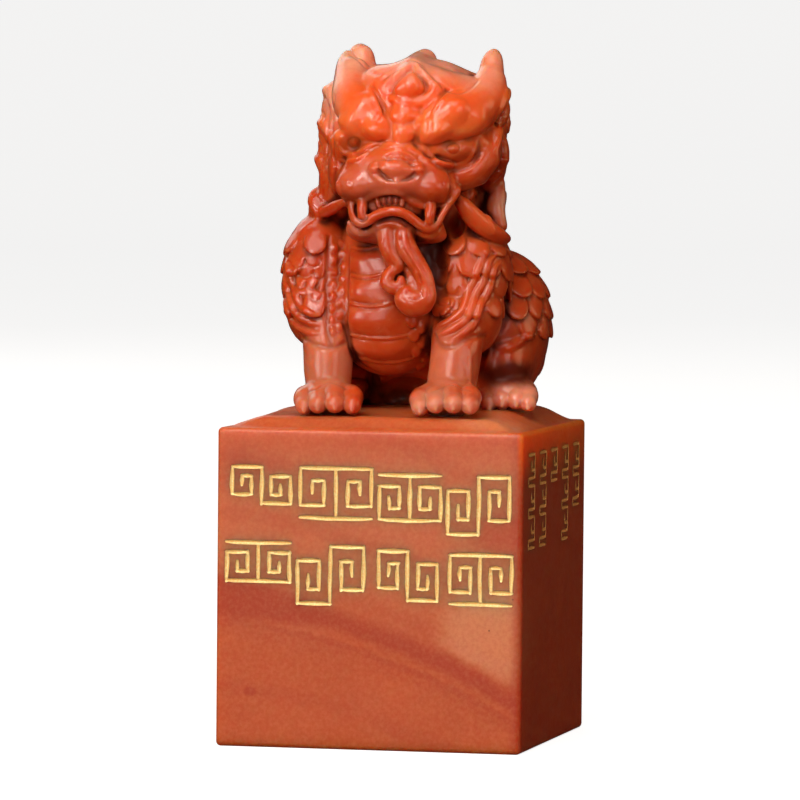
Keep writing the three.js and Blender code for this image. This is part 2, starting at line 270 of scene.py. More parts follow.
    # -------- surface
    def mesh(self):
        """Surface nets: points (n, 3) and quads."""
        D, (nx, ny, nz) = self.D, self.n
        S = D < 0
        cells = np.zeros((nx - 1, ny - 1, nz - 1), np.int8)
        for a in (0, 1):
            for b in (0, 1):
                for c in (0, 1):
                    cells += S[a : nx - 1 + a, b : ny - 1 + b, c : nz - 1 + c]
        live = (cells > 0) & (cells < 8)
        I = np.argwhere(live)
        idx = np.full(live.shape, -1, np.int64)
        idx[live] = np.arange(len(I))
        acc = np.zeros((len(I), 3), np.float64)
        cnt = np.zeros(len(I))
        corner = {}
        for a in (0, 1):
            for b in (0, 1):
                for c in (0, 1):
                    corner[a, b, c] = D[I[:, 0] + a, I[:, 1] + b, I[:, 2] + c].astype(np.float64)
        for axis in range(3):
            for u in (0, 1):
                for v in (0, 1):
                    lo = [0, 0, 0]
                    others = [i for i in range(3) if i != axis]
                    lo[others[0]], lo[others[1]] = u, v
                    hi = list(lo)
                    hi[axis] = 1
                    d0, d1 = corner[tuple(lo)], corner[tuple(hi)]
                    cross = (d0 < 0) != (d1 < 0)
                    t = np.where(cross, d0 / np.where(cross, d0 - d1, 1), 0)
                    p = np.tile(np.array(lo, float), (len(I), 1))
                    p[:, axis] = t
                    acc[cross] += p[cross]
                    cnt[cross] += 1
        pts = self.lo + (I + acc / cnt[:, None]) * self.h
        quads = []
        for axis in range(3):
            sl0 = [slice(None)] * 3
            sl1 = [slice(None)] * 3
            sl0[axis], sl1[axis] = slice(0, -1), slice(1, None)
            a, b = S[tuple(sl0)], S[tuple(sl1)]
            E = np.argwhere(a != b)
            o = [i for i in range(3) if i != axis]
            E = E[(E[:, o[0]] > 0) & (E[:, o[1]] > 0) & (E[:, o[0]] < self.n[o[0]] - 1) & (E[:, o[1]] < self.n[o[1]] - 1)]
            inside_first = a[tuple(E.T)]
            q = []
            for du, dv in ((-1, -1), (0, -1), (0, 0), (-1, 0)):
                c = E.copy()
                c[:, o[0]] += du
                c[:, o[1]] += dv
                q.append(idx[tuple(c.T)])
            q = np.stack(q, 1)
            flip = inside_first if axis != 1 else ~inside_first
            q[~flip] = q[~flip][:, ::-1]
            quads.append(q)
        return pts, np.vstack(quads)




def ss(a, b, x):
    t = np.clip((x - a) / (b - a), 0, 1)
    return t * t * (3 - 2 * t)


def ground(x, y):
    s = ss(0.1, 2.4, y + 15) * ss(0.1, 3.5, 15 - y) * ss(0.0, 4.5, 15 - np.abs(x))
    c = ss(-12, -2, y) * ss(0.5, 5, 15 - np.abs(x)) * ss(0.5, 5, 15 - y)
    return 30.75 + 1.15 * s + 0.4 * c


def Q(*rows):
    """Rows (px, py, Y, r) as rod rows."""
    return [[*P(a[0], a[1], a[2]), a[3]] for a in rows]


def unit(v):
    v = np.asarray(v, float)
    return v / (np.linalg.norm(v) + 1e-9)


def hit(c, az, z, at=(0.8, 2.0), far=17.0):
    """Point and normal of the clay met from outside, at an angle about a vertical line (0 front, 90 right)."""
    a = np.radians(az)
    o = np.array([at[0] + np.sin(a) * far, at[1] - np.cos(a) * far, z])
    p, ok = c.march(o, np.array([-np.sin(a), np.cos(a), 0.0]), far=far)
    if not ok[0]:
        return None, None
    return p[0], c.normal(p[0], 0.5)


def plate(c, p, n, t, w, l, th=0.3, tilt=14, sink=0.0, k=0.06):
    """Scale: a thin lens on the surface with its lower edge lifted."""
    n = unit(n)
    t = unit(np.asarray(t, float) - n * float(np.dot(t, n)))
    s = np.cross(t, n)
    a = np.radians(tilt)
    t2, n2 = t * np.cos(a) + n * np.sin(a), n * np.cos(a) - t * np.sin(a)
    c.ball(np.asarray(p) - n * sink, (w / 2, l / 2, th), k, np.column_stack([s, t2, n2]))


def curl(c, p, n, up, R, turns=1.5, hand=1, flat=0.6, k=0.3, g=0.15):
    """Spiral lock of hair: a flattened ball with a spiral groove."""
    n = unit(n)
    u = unit(np.asarray(up, float) - n * float(np.dot(up, n)))
    v = np.cross(n, u) * hand
    c.ball(p, (R, R, R * flat), k, np.column_stack([u, v, n]))
    m = int(turns * 16)
    rows = []
    for i in range(m + 1):
        a = 2 * np.pi * turns * i / m
        q = R * (0.86 - 0.76 * i / m)
        h = R * flat * np.sqrt(max(0.0, 1 - (q / R) ** 2))
        rows.append([*(p + (u * np.cos(a) + v * np.sin(a)) * q + n * (h + 0.03)), g * (1.15 - 0.5 * i / m)])
    c.rod(rows, 0.1, mode="cut", smooth=False)


def masses(c):
    b = c.ball
    # trunk
    b((0.0, -1.4, 44.4), (7.4, 6.3, 8.4), 1.0)
    b((-0.9, -3.4, 42.0), (5.7, 5.2, 6.5), 1.0)
    b((0.9, 5.4, 39.8), (8.2, 6.9, 7.7), 2.0)
    b((0.9, 5.0, 46.6), (7.0, 5.6, 6.8), 2.0)
    b((1.0, 0.4, 51.2), (6.2, 6.0, 5.8), 2.0)
    b((0.9, 7.4, 34.6), (6.2, 5.2, 4.2), 1.5)
    b((-3.9, 5.4, 33.6), (3.0, 2.6, 2.3), 0.8)
    # haunches
    b((8.5, 4.8, 40.2), (4.7, 6.5, 7.6), 0.8)
    b((-6.7, 5.4, 40.0), (4.5, 6.5, 7.5), 0.8)
    b((9.2, 1.4, 36.4), (3.0, 3.4, 3.4), 0.8)
    b((-7.0, 1.2, 36.2), (3.1, 3.6, 3.2), 0.8)
    # forelegs
    b((-7.9, -3.0, 45.3), (3.55, 4.2, 6.0), 0.5)
    b((-7.2, -4.4, 41.8), (3.6, 3.8, 3.9), 0.8)
    b((7.0, -2.1, 45.4), (3.7, 4.1, 6.1), 0.5)
    b((6.2, -4.2, 46.0), (2.3, 2.6, 3.8), 0.8)
    b((6.8, -3.5, 41.4), (3.6, 3.8, 3.9), 0.8)
    c.rod([(-6.3, -5.6, 41, 2.5), (-6.15, -6.6, 37.8, 2.45), (-5.9, -7.4, 34.8, 2.2), (-5.7, -8.0, 33.8, 2.0)], 0.4)
    c.rod([(6.5, -5.2, 41, 2.6), (6.5, -6.6, 37.5, 2.45), (6.3, -7.4, 34.8, 2.35), (6.2, -8.0, 33.8, 2.1)], 0.4)
    # head
    b((0.9, -1.2, 58.4), (7.7, 6.4, 7.6), 1.2)
    b((1.4, -4.0, 62.0), (5.6, 3.6, 3.8), 1.0)
    # mane
    b((0.7, 4.0, 57.4), (7.7, 5.4, 7.6), 1.0)
    b((0.8, 2.4, 61.6), (6.0, 4.6, 3.6), 1.5)
    b((-4.6, 2.6, 52.8), (3.4, 4.2, 4.8), 1.2)
    b((5.9, 3.2, 52.8), (2.6, 4.0, 4.8), 1.2)
    b((0.8, 5.4, 51.5), (6.0, 4.4, 5.6), 1.5)


def toe(c, a, b, d, r, claw=0.4, floor=31.9):
    """Toe from the instep a over a knuckle b to the tip d, with a short claw."""
    a, b, d = np.array(a), np.array(b), np.array(d)
    c.rod([[*a, r * 0.95], [*b, r * 1.12], [*(0.45 * b + 0.55 * d), r * 0.95], [*d, r * 0.9]], 0.12)
    u = unit((d - b) * (1, 1, 0))
    s = d + u * r * 0.62 + np.array([0, 0, -0.1])
    e = s + u * 0.22
    e[2] = max(floor + 0.2, s[2] - 0.4)
    c.rod([[*s, claw * 0.85], [*e, 0.22]], 0.22)


def feet(c):
    b = c.ball
    # front paws: pad, four toes, claws
    for side, toes, pad in (
        (-1, ((304, 403, 0.92), (318, 401, 1.0), (335, 400.5, 1.06), (352, 402, 1.0)), (328, 398)),
        (1, ((420, 404, 0.95), (436, 401, 1.02), (453, 400.5, 1.08), (470, 402, 1.02)), (446, 398)),
    ):
        b(P(pad[0], pad[1], -9.2), (3.3, 2.5, 1.75), 0.5)
        for i, (px, py, r) in enumerate(toes):
            f = -12.3 - 0.45 * (i in (1, 2)) - (0.2 if side > 0 else 0)
            toe(c, P(px, py - 8, -9.2), P(px, py - 4.5, -10.9), P(px, py + 3, f), r)
    # hind paws
    toes = ((489, 400, 0.92), (502, 397, 1.02), (516, 397, 1.02), (528, 400, 0.92))
    b(P(509, 393, 0.8), (2.7, 3.4, 2.0), 0.5)
    for px, py, r in toes:
        toe(c, P(px, py - 8, 1.3), P(px, py - 4, -0.9), P(px, py + 3, -2.3), r, 0.36, 32.2)
    # the hind paw of the far side
    b((-6.8, 1.4, 33.9), (2.6, 3.4, 2.0), 0.5)
    for i, x in enumerate((-8.7, -7.4, -6.0, -4.8)):
        f = 0.4 * (i in (1, 2))
        toe(c, (x, 0.8, 34.2), (x, -1.4 - f, 33.9), (x, -2.8 - f, 33.1), 0.96, 0.36, 32.2)


def head(c):
    b, rod = c.ball, c.rod
    # crown: sloping brow plane to the top, middle ridge running back
    b(P(409, 86, -6.1), (4.3, 2.6, 2.3), 1.2)
    b(P(404, 108, -7.3), (3.0, 2.0, 3.4), 1.0)
    b(P(440, 92, -5.6), (3.2, 2.4, 1.9), 1.0)
    b(P(464, 95, -4.1), (2.6, 2.4, 1.9), 1.0)
    b(P(380, 90, -5.2), (2.0, 2.2, 2.2), 1.0)
    rod(Q((411, 90, -7.2, 1.8), (413, 73, -4.9, 1.4), (420, 64, -1.8, 1.25), (425, 60, -0.6, 1.1)), 1.0)
    rod(Q((385, 86, -3.6, 1.7), (374, 81, -1.5, 1.5), (366, 84, 1.0, 1.4)), 1.2)
    rod(Q((440, 80, -3.0, 1.9), (458, 86, -1.0, 1.8), (470, 91, 1.5, 1.8)), 1.2)
    # muzzle
    b(P(394, 178, -7.8), (5.0, 3.3, 2.9), 0.8)
    b(P(361, 184, -8.9), (2.4, 2.4, 1.9), 0.6)
    b(P(432, 187, -8.4), (2.5, 2.5, 1.9), 0.6)
    b(P(396, 183, -9.8), (2.9, 1.8, 1.2), 0.6)
    b(P(398, 160, -8.9), (3.0, 1.9, 1.7), 0.9)
    b(P(369, 163, -8.6), (2.1, 1.9, 1.7), 0.9)
    b(P(428, 167, -8.3), (2.3, 1.9, 1.7), 0.9)
    # bridge and the pads between the brows
    rod(Q((403, 112, -8.0, 1.5), (403, 124, -8.4, 1.6), (401, 142, -8.8, 1.6), (399, 156, -9.2, 1.6)), 0.9)
    # cheeks: one band from the muzzle round the eye to the temple
    b(P(461, 175, -5.4), (2.6, 2.2, 1.7), 0.8)
    rod(Q((448, 177, -7.0, 1.3), (462, 176, -6.6, 1.5), (475, 168, -5.8, 1.6), (484.5, 155, -4.9, 1.6), (488, 141, -4.2, 1.35), (488, 131, -3.8, 0.95)), 0.4)
    b(P(342, 170, -5.9), (1.3, 2.4, 2.6), 0.8)
    # eye hollows, then the balls
    b(P(354, 144.5, -9.8), (2.0, 1.5, 0.9), 0.4, (0, 14, 0), "cut")
    b(P(451, 150, -9.0), (2.6, 1.6, 1.0), 0.4, (0, -6, 18), "cut")
    b(P(354.5, 144.5, -7.9), (2.25, 1.4, 1.4), 0.35, (0, 10, 0))
    b(P(453, 150, -7.3), (2.4, 1.5, 1.35), 0.35, (0, -6, 16))
    # brows flow up and out into the horns
    rod(Q((384, 128, -9.0, 1.3), (374, 122, -8.6, 1.75), (362, 113, -7.7, 2.1), (354, 101, -6.6, 2.1), (352, 88, -5.1, 1.9),
          (353, 74, -3.4, 1.65)), 0.35)
    rod(Q((429, 128, -9.0, 1.45), (441, 121, -8.3, 1.95), (455, 115, -7.3, 2.3), (470, 110, -6.0, 2.35), (484, 99, -4.4, 2.05),
          (490, 84, -3.0, 1.6)), 0.35)
    # horns: the left one is a leaf with a second leaf behind it, the right one a spike
    rod(Q((352, 82, -4.0, 1.75), (348, 68, -2.8, 1.2), (347, 60, -2.2, 0.78), (347.5, 55, -2.0, 0.5)), 0.3)
    rod(Q((358, 86, -2.4, 1.8), (362, 69, -1.2, 1.4), (361, 57, -0.7, 1.25), (357.5, 51.5, -0.5, 0.7)), 0.3)
    rod(Q((488, 92, -3.4, 1.65), (491, 76, -2.2, 1.3), (492.5, 62, -1.5, 1.05), (493.5, 56, -1.2, 0.72)), 0.4)
    # hair band behind the brow and temple
    b(P(343, 140, -1.2), (1.9, 2.9, 6.4), 0.8)
    b(P(341, 186, -2.6), (2.0, 2.8, 3.4), 0.8)
    rod(Q((334, 91, -1.4, 0.85), (331, 112, -1.5, 0.95), (330, 135, -1.9, 1.1), (330, 160, -2.4, 1.1), (331, 184, -2.8, 1.05), (324, 206, -3.4, 1.2)), 0.7)
    for px, py, y, rx, ry, rz, lean in ((357, 124.5, -8.6, 1.9, 1.1, 0.95, 12), (375, 131.5, -9.5, 1.25, 0.95, 0.85, 22), (434, 135.5, -9.1, 1.3, 0.95, 0.85, -15), (454, 129.5, -8.1, 2.1, 1.2, 1.0, 0),
                                        (471, 123.5, -6.6, 1.8, 1.2, 1.05, -20)):
        b(P(px, py, y), (rx, ry, rz), 0.5, rot(0, lean, 13))
    # the brows grow out of the crown, and sit close over the eyes
    for px, py, y, rx, ry, rz in ((384, 101, -7.5, 1.7, 1.6, 2.4), (432, 104, -7.3, 1.9, 1.6, 1.9), (434, 149, -8.0, 1.3, 1.3, 0.85), (470, 142, -5.9, 1.7, 1.4, 1.1), (375, 143.5, -8.6, 1.3, 1.2, 0.8),
                                  (343, 141, -7.1, 1.1, 1.4, 0.9), (424, 110, -7.9, 1.1, 1.2, 1.3), (421.5, 118, -8.2, 0.9, 1.1, 1.3), (421, 137, -8.5, 1.0, 1.2, 1.5), (388, 131, -8.7, 0.9, 1.1, 1.5), (347, 137, -8.3, 1.3, 1.2, 0.8), (343, 150, -7.4, 1.0, 1.2, 1.0), (362, 136.5, -8.8, 1.1, 1.0, 0.6), (372, 150, -8.8, 1.2, 1.2, 0.9)):
        b(P(px, py, y), (rx, ry, rz), 0.6)
    # soft bumps of the brows
    for px, py, rx, rz, lift in ((366, 102, 1.3, 1.2, -0.75), (352, 119, 0.9, 1.5, -0.65), (449, 108, 1.8, 1.2, -0.85), (478, 122, 1.3, 1.2, -0.85), (375, 131, 1.1, 0.7, -0.5), (436, 134, 1.3, 0.7, -0.5)):
        b(c.on(px, py, lift), (rx, 1.0, rz), 0.7, rot(0, 25 if px < 400 else -20, 0))
    # back of the mouth, and the root of the temple leaf
    b(P(395, 207, -8.1), (4.7, 2.4, 1.7), 0.5)
    b(P(478, 135, -4.4), (1.2, 1.4, 1.3), 0.7)
    # jaw with its floor and chin
    b(P(396, 228, -6.6), (4.4, 3.5, 1.8), 0.5)
    b(P(362, 229, -8.0), (1.5, 2.1, 1.2), 0.5)
    b(P(430, 231.5, -7.6), (1.75, 2.2, 1.3), 0.6)
    b(P(392, 225, -9.0), (2.3, 1.4, 1.1), 0.6)


def mouth(c):
    rows = [(368, 207.5, -11.1, 0.4), (372, 205.5, -11.1, 0.5), (380, 203, -11.2, 0.58), (390, 201.5, -11.3, 0.6), (401, 202.5, -11.2, 0.58),
            (411, 207.5, -11.0, 0.52), (419, 211.5, -10.7, 0.5), (424, 213.5, -10.5, 0.4)]
    for dy in (-1.0, -0.2, 0.35):
        c.rod(Q(*[(a, b, y + dy, r) for a, b, y, r in rows]), 0.15, "cut")
    # small teeth set back in the gap, in two rows
    for px, py in ((378, 203.5), (384, 201.5), (390, 200.8), (396, 201.2), (402, 203)):
        c.rod(Q((px, py - 2.0, -10.4, 0.26), (px, py + 1.2, -10.45, 0.24)), 0.12)
    for px, py in ((381, 209), (387, 207.6), (393, 207.4), (399, 208.4)):
        c.rod(Q((px, py - 0.8, -10.45, 0.24), (px, py + 1.2, -10.5, 0.24)), 0.12)
    # rims of the lips
    up = [(338, 184), (339, 190), (345, 199), (352, 203.5), (360, 202.5), (367, 199), (375, 195.5), (386, 192.5), (397, 192.8), (405, 196.5), (413, 202), (422, 206.5), (432, 207.5), (442, 205),
          (450, 200.5), (455, 194), (458.5, 188)]
    c.ridge([(a, b, 0.3) for a, b in up], 0.3, -0.05, 0.3)
    low = Q((351.5, 205, -9.9, 0.34), (352.5, 213, -10.2, 0.42), (356, 219.5, -10.5, 0.5), (361.5, 222.5, -10.7, 0.52), (368, 220.5, -10.9, 0.5), (376, 215.5, -11.0, 0.48),
            (386, 212, -11.1, 0.48), (396, 211.5, -11.1, 0.48), (406, 214.5, -10.9, 0.48), (414, 220, -10.6, 0.5), (423, 226.5, -10.2, 0.52), (431, 228, -9.9, 0.52),
            (437, 223, -9.7, 0.42), (442.5, 214, -9.4, 0.34), (448, 206, -9.1, 0.28), (454, 197, -8.8, 0.26), (458.5, 190, -8.6, 0.2))
    c.rod(low, 0.55)
    for q in (((356.5, 205), (356, 211), (358, 217), (362, 220.5), (366.5, 217.5), (368, 211)), ((424, 212), (424.5, 218), (428, 223.5), (433, 222.5), (436.5, 216), (438.5, 209.5))):
        c.groove(q, 0.2, 0.0, 0.1)
    # fangs
    c.rod(Q((362, 202, -10.3, 0.5), (362.3, 209, -10.7, 0.52), (362.3, 215.5, -10.8, 0.44)), 0.25)
    c.rod(Q((431, 207, -9.9, 0.52), (430, 214, -10.2, 0.54), (429.5, 220.5, -10.3, 0.44)), 0.25)
    # second rims and the arcs of the chin
    c.ridge([(350, 223, 0.3), (354, 229, 0.42), (361, 233, 0.45), (369, 232, 0.38), (375, 226, 0.28)], 0.3, 0.0, 0.35)
    c.ridge([(376, 222), (385, 218.5), (395, 218.5), (404, 222), (411, 228)], 0.24, 0.02, 0.25)
    c.ridge([(379, 227), (386, 224), (394, 224), (401, 227)], 0.24, 0.02, 0.25)
    c.ridge([(414, 229, 0.2), (421, 234.5, 0.26), (431, 237, 0.28), (438, 233, 0.22), (442, 226, 0.12)], 0.25, -0.05, 0.4)


def face(c):
    # nose plate with curled wings
    c.ball(P(396.5, 169.5, -10.85), (1.8, 0.8, 0.86), 0.22, rot(0, 6, 13))
    c.ball(P(380, 170, -10.7), (0.75, 0.6, 0.5), 0.3, rot(0, 30, 13))
    c.ball(P(414, 172, -10.5), (0.75, 0.6, 0.5), 0.3, rot(0, -20, 13))
    c.ridge([(386, 162.5, 0.15), (379, 162.5, 0.22), (373, 165.5, 0.27), (371.5, 171, 0.27), (374.5, 176, 0.2), (379, 180, 0.12)], 0.28, -0.02, 0.25)
    c.ridge([(409, 163, 0.15), (416, 163.5, 0.22), (421.5, 168, 0.27), (422, 174, 0.25), (418.5, 179, 0.12)], 0.28, -0.02, 0.25)
    for q in (((376, 167.5, 0.1), (379.5, 171.5, 0.2), (383, 175.5, 0.24), (387, 179, 0.2), (393, 180.5, 0.1)), ((418, 169.5, 0.1), (415, 173, 0.2), (411, 177, 0.22), (406, 179.5, 0.18), (400, 180.5, 0.1))):
        c.groove(q, 0.22, -0.03, 0.15)
    for px, py in ((374.3, 168.6), (419.6, 169.6)):
        c.ball(c.on(px, py, -0.1), 0.42, 0.2)
    c.groove([(386, 157), (392, 154.6), (400, 154), (408, 157), (414, 161)], 0.12, 0.05, 0.2)
    c.groove([(383, 151), (390, 148.8), (400, 148.4), (410, 151.5), (418, 157)], 0.11, 0.05, 0.2)
    c.groove([(388, 160.3), (396, 158.2), (404, 160.5), (411, 165)], 0.12, 0.04, 0.12)
    # jewel, chevrons and the pad below them
    c.groove([(411, 68), (403, 77), (393.5, 88), (394, 93), (404, 96.5), (413, 97), (423, 93), (426, 88), (419, 77), (411.5, 68)], 0.26, 0.1, 0.3)
    tri = [(411, 76.5), (403, 85.5), (399, 90.5), (410, 93), (419, 90), (417, 84), (411, 76.5)]
    c.ridge([(a, b, 0.5) for a, b in tri], 0.5, -0.12, 0.3)
    p = c.on(410, 86, -0.25)
    c.ball(p, (1.05, 0.72, 0.8), 0.35)
    c.rod(Q((411, 75, -6.6, 0.3), (410.5, 81, -7.3, 0.55), (410, 86, -7.8, 0.85)), 0.3)
    c.ridge([(386, 83, 0.18), (394, 76, 0.34), (404, 68.5, 0.4), (413, 64, 0.4), (420, 69, 0.4), (428, 78, 0.4), (436, 88, 0.34), (439, 92, 0.15)], 0.3, -0.06, 0.3)
    c.groove([(383, 79), (394, 71.5), (404, 64.5), (413.5, 60), (421, 65), (431, 75), (441, 86), (446, 91)], 0.17, 0.05, 0.25)
    c.ridge([(393, 98, 0.2), (402, 101.5, 0.45), (412, 103.5, 0.55), (423, 101.5, 0.5), (432, 94, 0.3), (436, 86, 0.2)], 0.4, -0.2, 0.6)
    # pads between the brows
    for px, py, rx, rz in ((402.5, 115, 1.2, 0.7), (404, 131.5, 1.1, 0.8)):
        p = c.on(px, py, -0.45)
        c.ball(p, (rx, 0.8, rz), 0.8)
    c.groove([(391, 121), (397, 124), (405, 124.5), (412, 121)], 0.1, 0.07, 0.3)
    c.groove([(391, 104), (389.5, 112), (389, 119)], 0.15, 0.05, 0.3)
    c.groove([(420, 108), (421.5, 117), (418.5, 127), (416.5, 138), (417, 145)], 0.15, 0.05, 0.3)
    c.groove([(390.5, 124), (391.5, 132), (391, 140)], 0.14, 0.05, 0.3)
    c.groove([(393, 141.5), (400, 144), (408, 143.5), (414, 141)], 0.09, 0.06, 0.3)
    # folds of the inner brows
    c.groove([(372, 86), (376, 93), (380, 101), (384, 109), (386, 116)], 0.22, 0.06, 0.2)
    c.ridge([(369, 87, 0.12), (372, 94, 0.2), (376, 102, 0.2), (380, 110, 0.14)], 0.2, -0.02, 0.2)
    for q in (((383.5, 112), (381, 117), (377, 124)), ((379, 113), (376.5, 117), (373, 121))):
        c.groove(q, 0.11, 0.05, 0.12)
    c.groove([(446, 92), (440, 98), (435, 104), (431, 111), (428, 117)], 0.22, 0.06, 0.2)
    c.ridge([(448, 93.5, 0.12), (442.5, 99.5, 0.2), (437, 106, 0.2), (433, 112, 0.14)], 0.2, -0.02, 0.2)
    for q in (((425, 119.5), (426.5, 124), (426, 131)), ((430, 118), (431.5, 123), (431, 129))):
        c.groove(q, 0.11, 0.05, 0.12)
    c.groove([(450, 91.5), (460, 92.5), (470, 88.5), (478, 80)], 0.15, 0.04, 0.25)
    # fold between the two leaves of the left horn
    c.groove([(351.5, 55), (355.5, 57.5), (360.5, 62), (366, 68), (372, 72.5), (379, 74.5)], 0.16, 0.05, 0.2)
    # lids
    c.ridge([(338, 145, 0.14), (342, 151, 0.22), (349, 154.5, 0.24), (357, 153.5, 0.24), (364, 149.5, 0.22), (370, 145.5, 0.2), (378, 144, 0.16), (386, 145, 0.08)], 0.22, 0.0, 0.2)
    c.ridge([(341, 159.5, 0.1), (349, 161, 0.22), (357, 159, 0.22), (364, 155, 0.2), (370, 150.5, 0.1)], 0.2, 0.0, 0.2)
    c.ridge([(423, 147, 0.12), (428, 153.5, 0.22), (436, 160.5, 0.26), (446, 164.5, 0.28), (456, 165, 0.28), (465, 161.5, 0.26), (472, 155, 0.24), (475.5, 147, 0.14)], 0.25, 0.0, 0.2)
    c.groove([(431, 161), (440, 167.5), (450, 170.5), (461, 169.5), (470, 166), (477, 159), (480, 150), (480, 141)], 0.17, 0.06, 0.2)
    # pupils: a low disc cut around
    for px, py, r in ((354, 143, 6.0), (453.5, 148.5, 6.3)):
        a = np.linspace(0, 2 * np.pi, 18)
        c.groove([(px + r * np.cos(t), py + 0.85 * r * np.sin(t)) for t in a], 0.16, 0.04, 0.1)
        p = c.on(px, py, -0.08)
        c.ball(p, (0.2, 0.2, 0.2), 0.1)
    # corners of the mouth, cheek lines
    c.groove([(335, 170), (334, 180), (336, 190), (341, 198), (347, 204)], 0.2, 0.06, 0.25)
    c.groove([(449, 172), (452, 180), (452, 190), (448, 199)], 0.2, 0.06, 0.3)
    for px, py, r in ((351, 190, 0.1), (437, 190, 0.12), (443, 184, 0.1), (430, 195, 0.1), (357, 195, 0.1), (349, 184, 0.1)):
        p = c.on(px, py, 0.04)
        c.ball(p, 0.13, 0.08, None, "cut")


def hair(c):
    # hollow above and below the right whisker, behind the corner of the mouth
    c.ball(P(483, 199, -3.4), (1.5, 2.6, 1.6), 0.5, rot(0, 35, 0), "cut")
    c.ball(P(474, 189, -5.0), (1.4, 1.4, 0.7), 0.5, rot(0, 20, 0), "cut")
    c.ball(P(455, 222, -5.6), (0.9, 2.8, 1.6), 0.4, None, "cut")
    c.ball(P(338, 221, -7.6), (0.8, 2.0, 0.8), 0.3, None, "cut")
    # right whisker ribbon and the left one
    c.rod(Q((456, 196, -6.9, 0.42), (464, 206, -6.5, 0.78), (474, 218, -5.7, 0.98), (487, 229, -4.7, 0.95), (499, 236, -3.5, 0.8), (506, 238.5, -2.2, 0.5)), 0.3)
    c.rod(Q((344, 202, -8.0, 0.35), (337, 206, -7.1, 0.55), (329, 210, -5.9, 0.62), (322, 214, -4.5, 0.55), (318, 218, -3.4, 0.3)), 0.6)
    c.ball(P(323, 208, -3.0), (1.3, 1.8, 1.4), 0.6)
    # locks between temple and mane
    c.ball(P(492, 120, 0.6), (1.4, 2.4, 3.4), 0.8)
    c.ball(P(491, 160, 0.2), (1.5, 2.4, 3.2), 0.8)
    c.rod(Q((499, 98, 0.2, 0.6), (500.5, 107, -0.4, 0.95), (499, 116, -1.0, 0.95), (494, 124, -1.6, 0.6)), 0.35)
    c.rod(Q((497, 130, -0.6, 0.5), (499, 143, -1.0, 0.85), (500, 157, -1.2, 0.9), (496, 170, -1.4, 0.75), (491, 178, -1.6, 0.4)), 0.4)
    c.rod(Q((500, 184, 0.2, 0.5), (497, 198, -0.2, 0.85), (496, 212, -0.6, 0.9), (500, 226, -0.8, 0.7)), 0.4)
    # mane: rings of curls behind the face
    for z, R, azs in ((63.4, 1.5, (104, 128, 155, 205, 232, 256)), (60.0, 1.65, (90, 112, 135, 159, 201, 225, 249, 272)), (56.4, 1.7, (99, 120, 142, 164, 196, 218, 240, 262, 282)),
                      (52.9, 1.75, (88, 109, 131, 153, 176, 198, 220, 242, 264, 285)), (49.5, 1.6, (118, 140, 163, 197, 220, 242))):
        for i, az in enumerate(azs):
            p, n = hit(c, az, z, (0.8, 1.5))
            if p is None:
                continue
            curl(c, p - n * (0.4 if 96 < az < 264 else 0.6), n, (0, 0, 1), R, 1.6, 1 if az < 181 else -1, 0.62, 0.3)
    # beard: two strands, the left one ends in a small ring, the right one in a bulb
    c.rod(Q((428, 244, -7.4, 0.9), (432, 256, -7.1, 1.25), (436, 270, -7.0, 1.05), (438, 288, -7.2, 0.7)), 0.4, mode="cut")
    c.rod(Q((387, 234, -9.7, 0.95), (388, 245, -9.9, 0.9), (392, 256, -9.95, 0.82), (398, 265, -9.9, 0.7), (393, 271, -10.0, 0.66), (388, 277, -10.1, 0.7), (388, 284, -10.2, 0.75), (394, 288, -10.2, 0.7),
            (400.5, 285, -10.2, 0.55), (401, 279.5, -10.3, 0.4)), 0.2)
    c.rod(Q((404, 234, -9.7, 1.0), (406, 245, -10.0, 1.02), (412, 256, -10.1, 0.95), (418.5, 266, -10.1, 0.88), (424, 277, -10.1, 0.84), (426.5, 288, -10.0, 0.86), (426, 297, -10.0, 0.98), (420, 304.5, -10.1, 1.12),
            (411.5, 305, -10.2, 1.15), (404.5, 299, -10.3, 1.0), (406, 292.5, -10.4, 0.72)), 0.2)
    c.rod(Q((396, 236, -9.3, 1.0), (400, 252, -9.3, 0.95), (408, 266, -9.2, 0.75), (414, 277, -9.4, 0.85), (415, 290, -9.6, 0.95)), 0.3)
    c.ball(P(413, 302.5, -10.3), (1.3, 1.1, 1.25), 0.25)
    c.rod(Q((394, 240, -7.9, 1.1), (398, 256, -7.8, 1.3), (406, 272, -7.9, 1.35), (410, 288, -8.3, 1.4), (411, 299, -8.7, 1.1)), 0.4)


def strand(c, rows, r, at=(0.8, 2.0), mode="cut", lift=0.04, k=0.15):
    """Line laid on the clay through rows (az, z), r thick."""
    out = []
    q = spline([(a, b, 0, 0) for a, b in rows], 0.5)
    for i, (az, z, *_) in enumerate(q):
        p, n = hit(c, az, z, at)
        if p is not None:
            t = i / max(1, len(q) - 1)
            out.append([*(p + n * lift), r * (0.5 + 0.6 * np.sin(np.pi * min(1, 0.1 + t * 0.95)))])
    if len(out) > 1:
        c.rod(out, k, mode=mode, smooth=False)


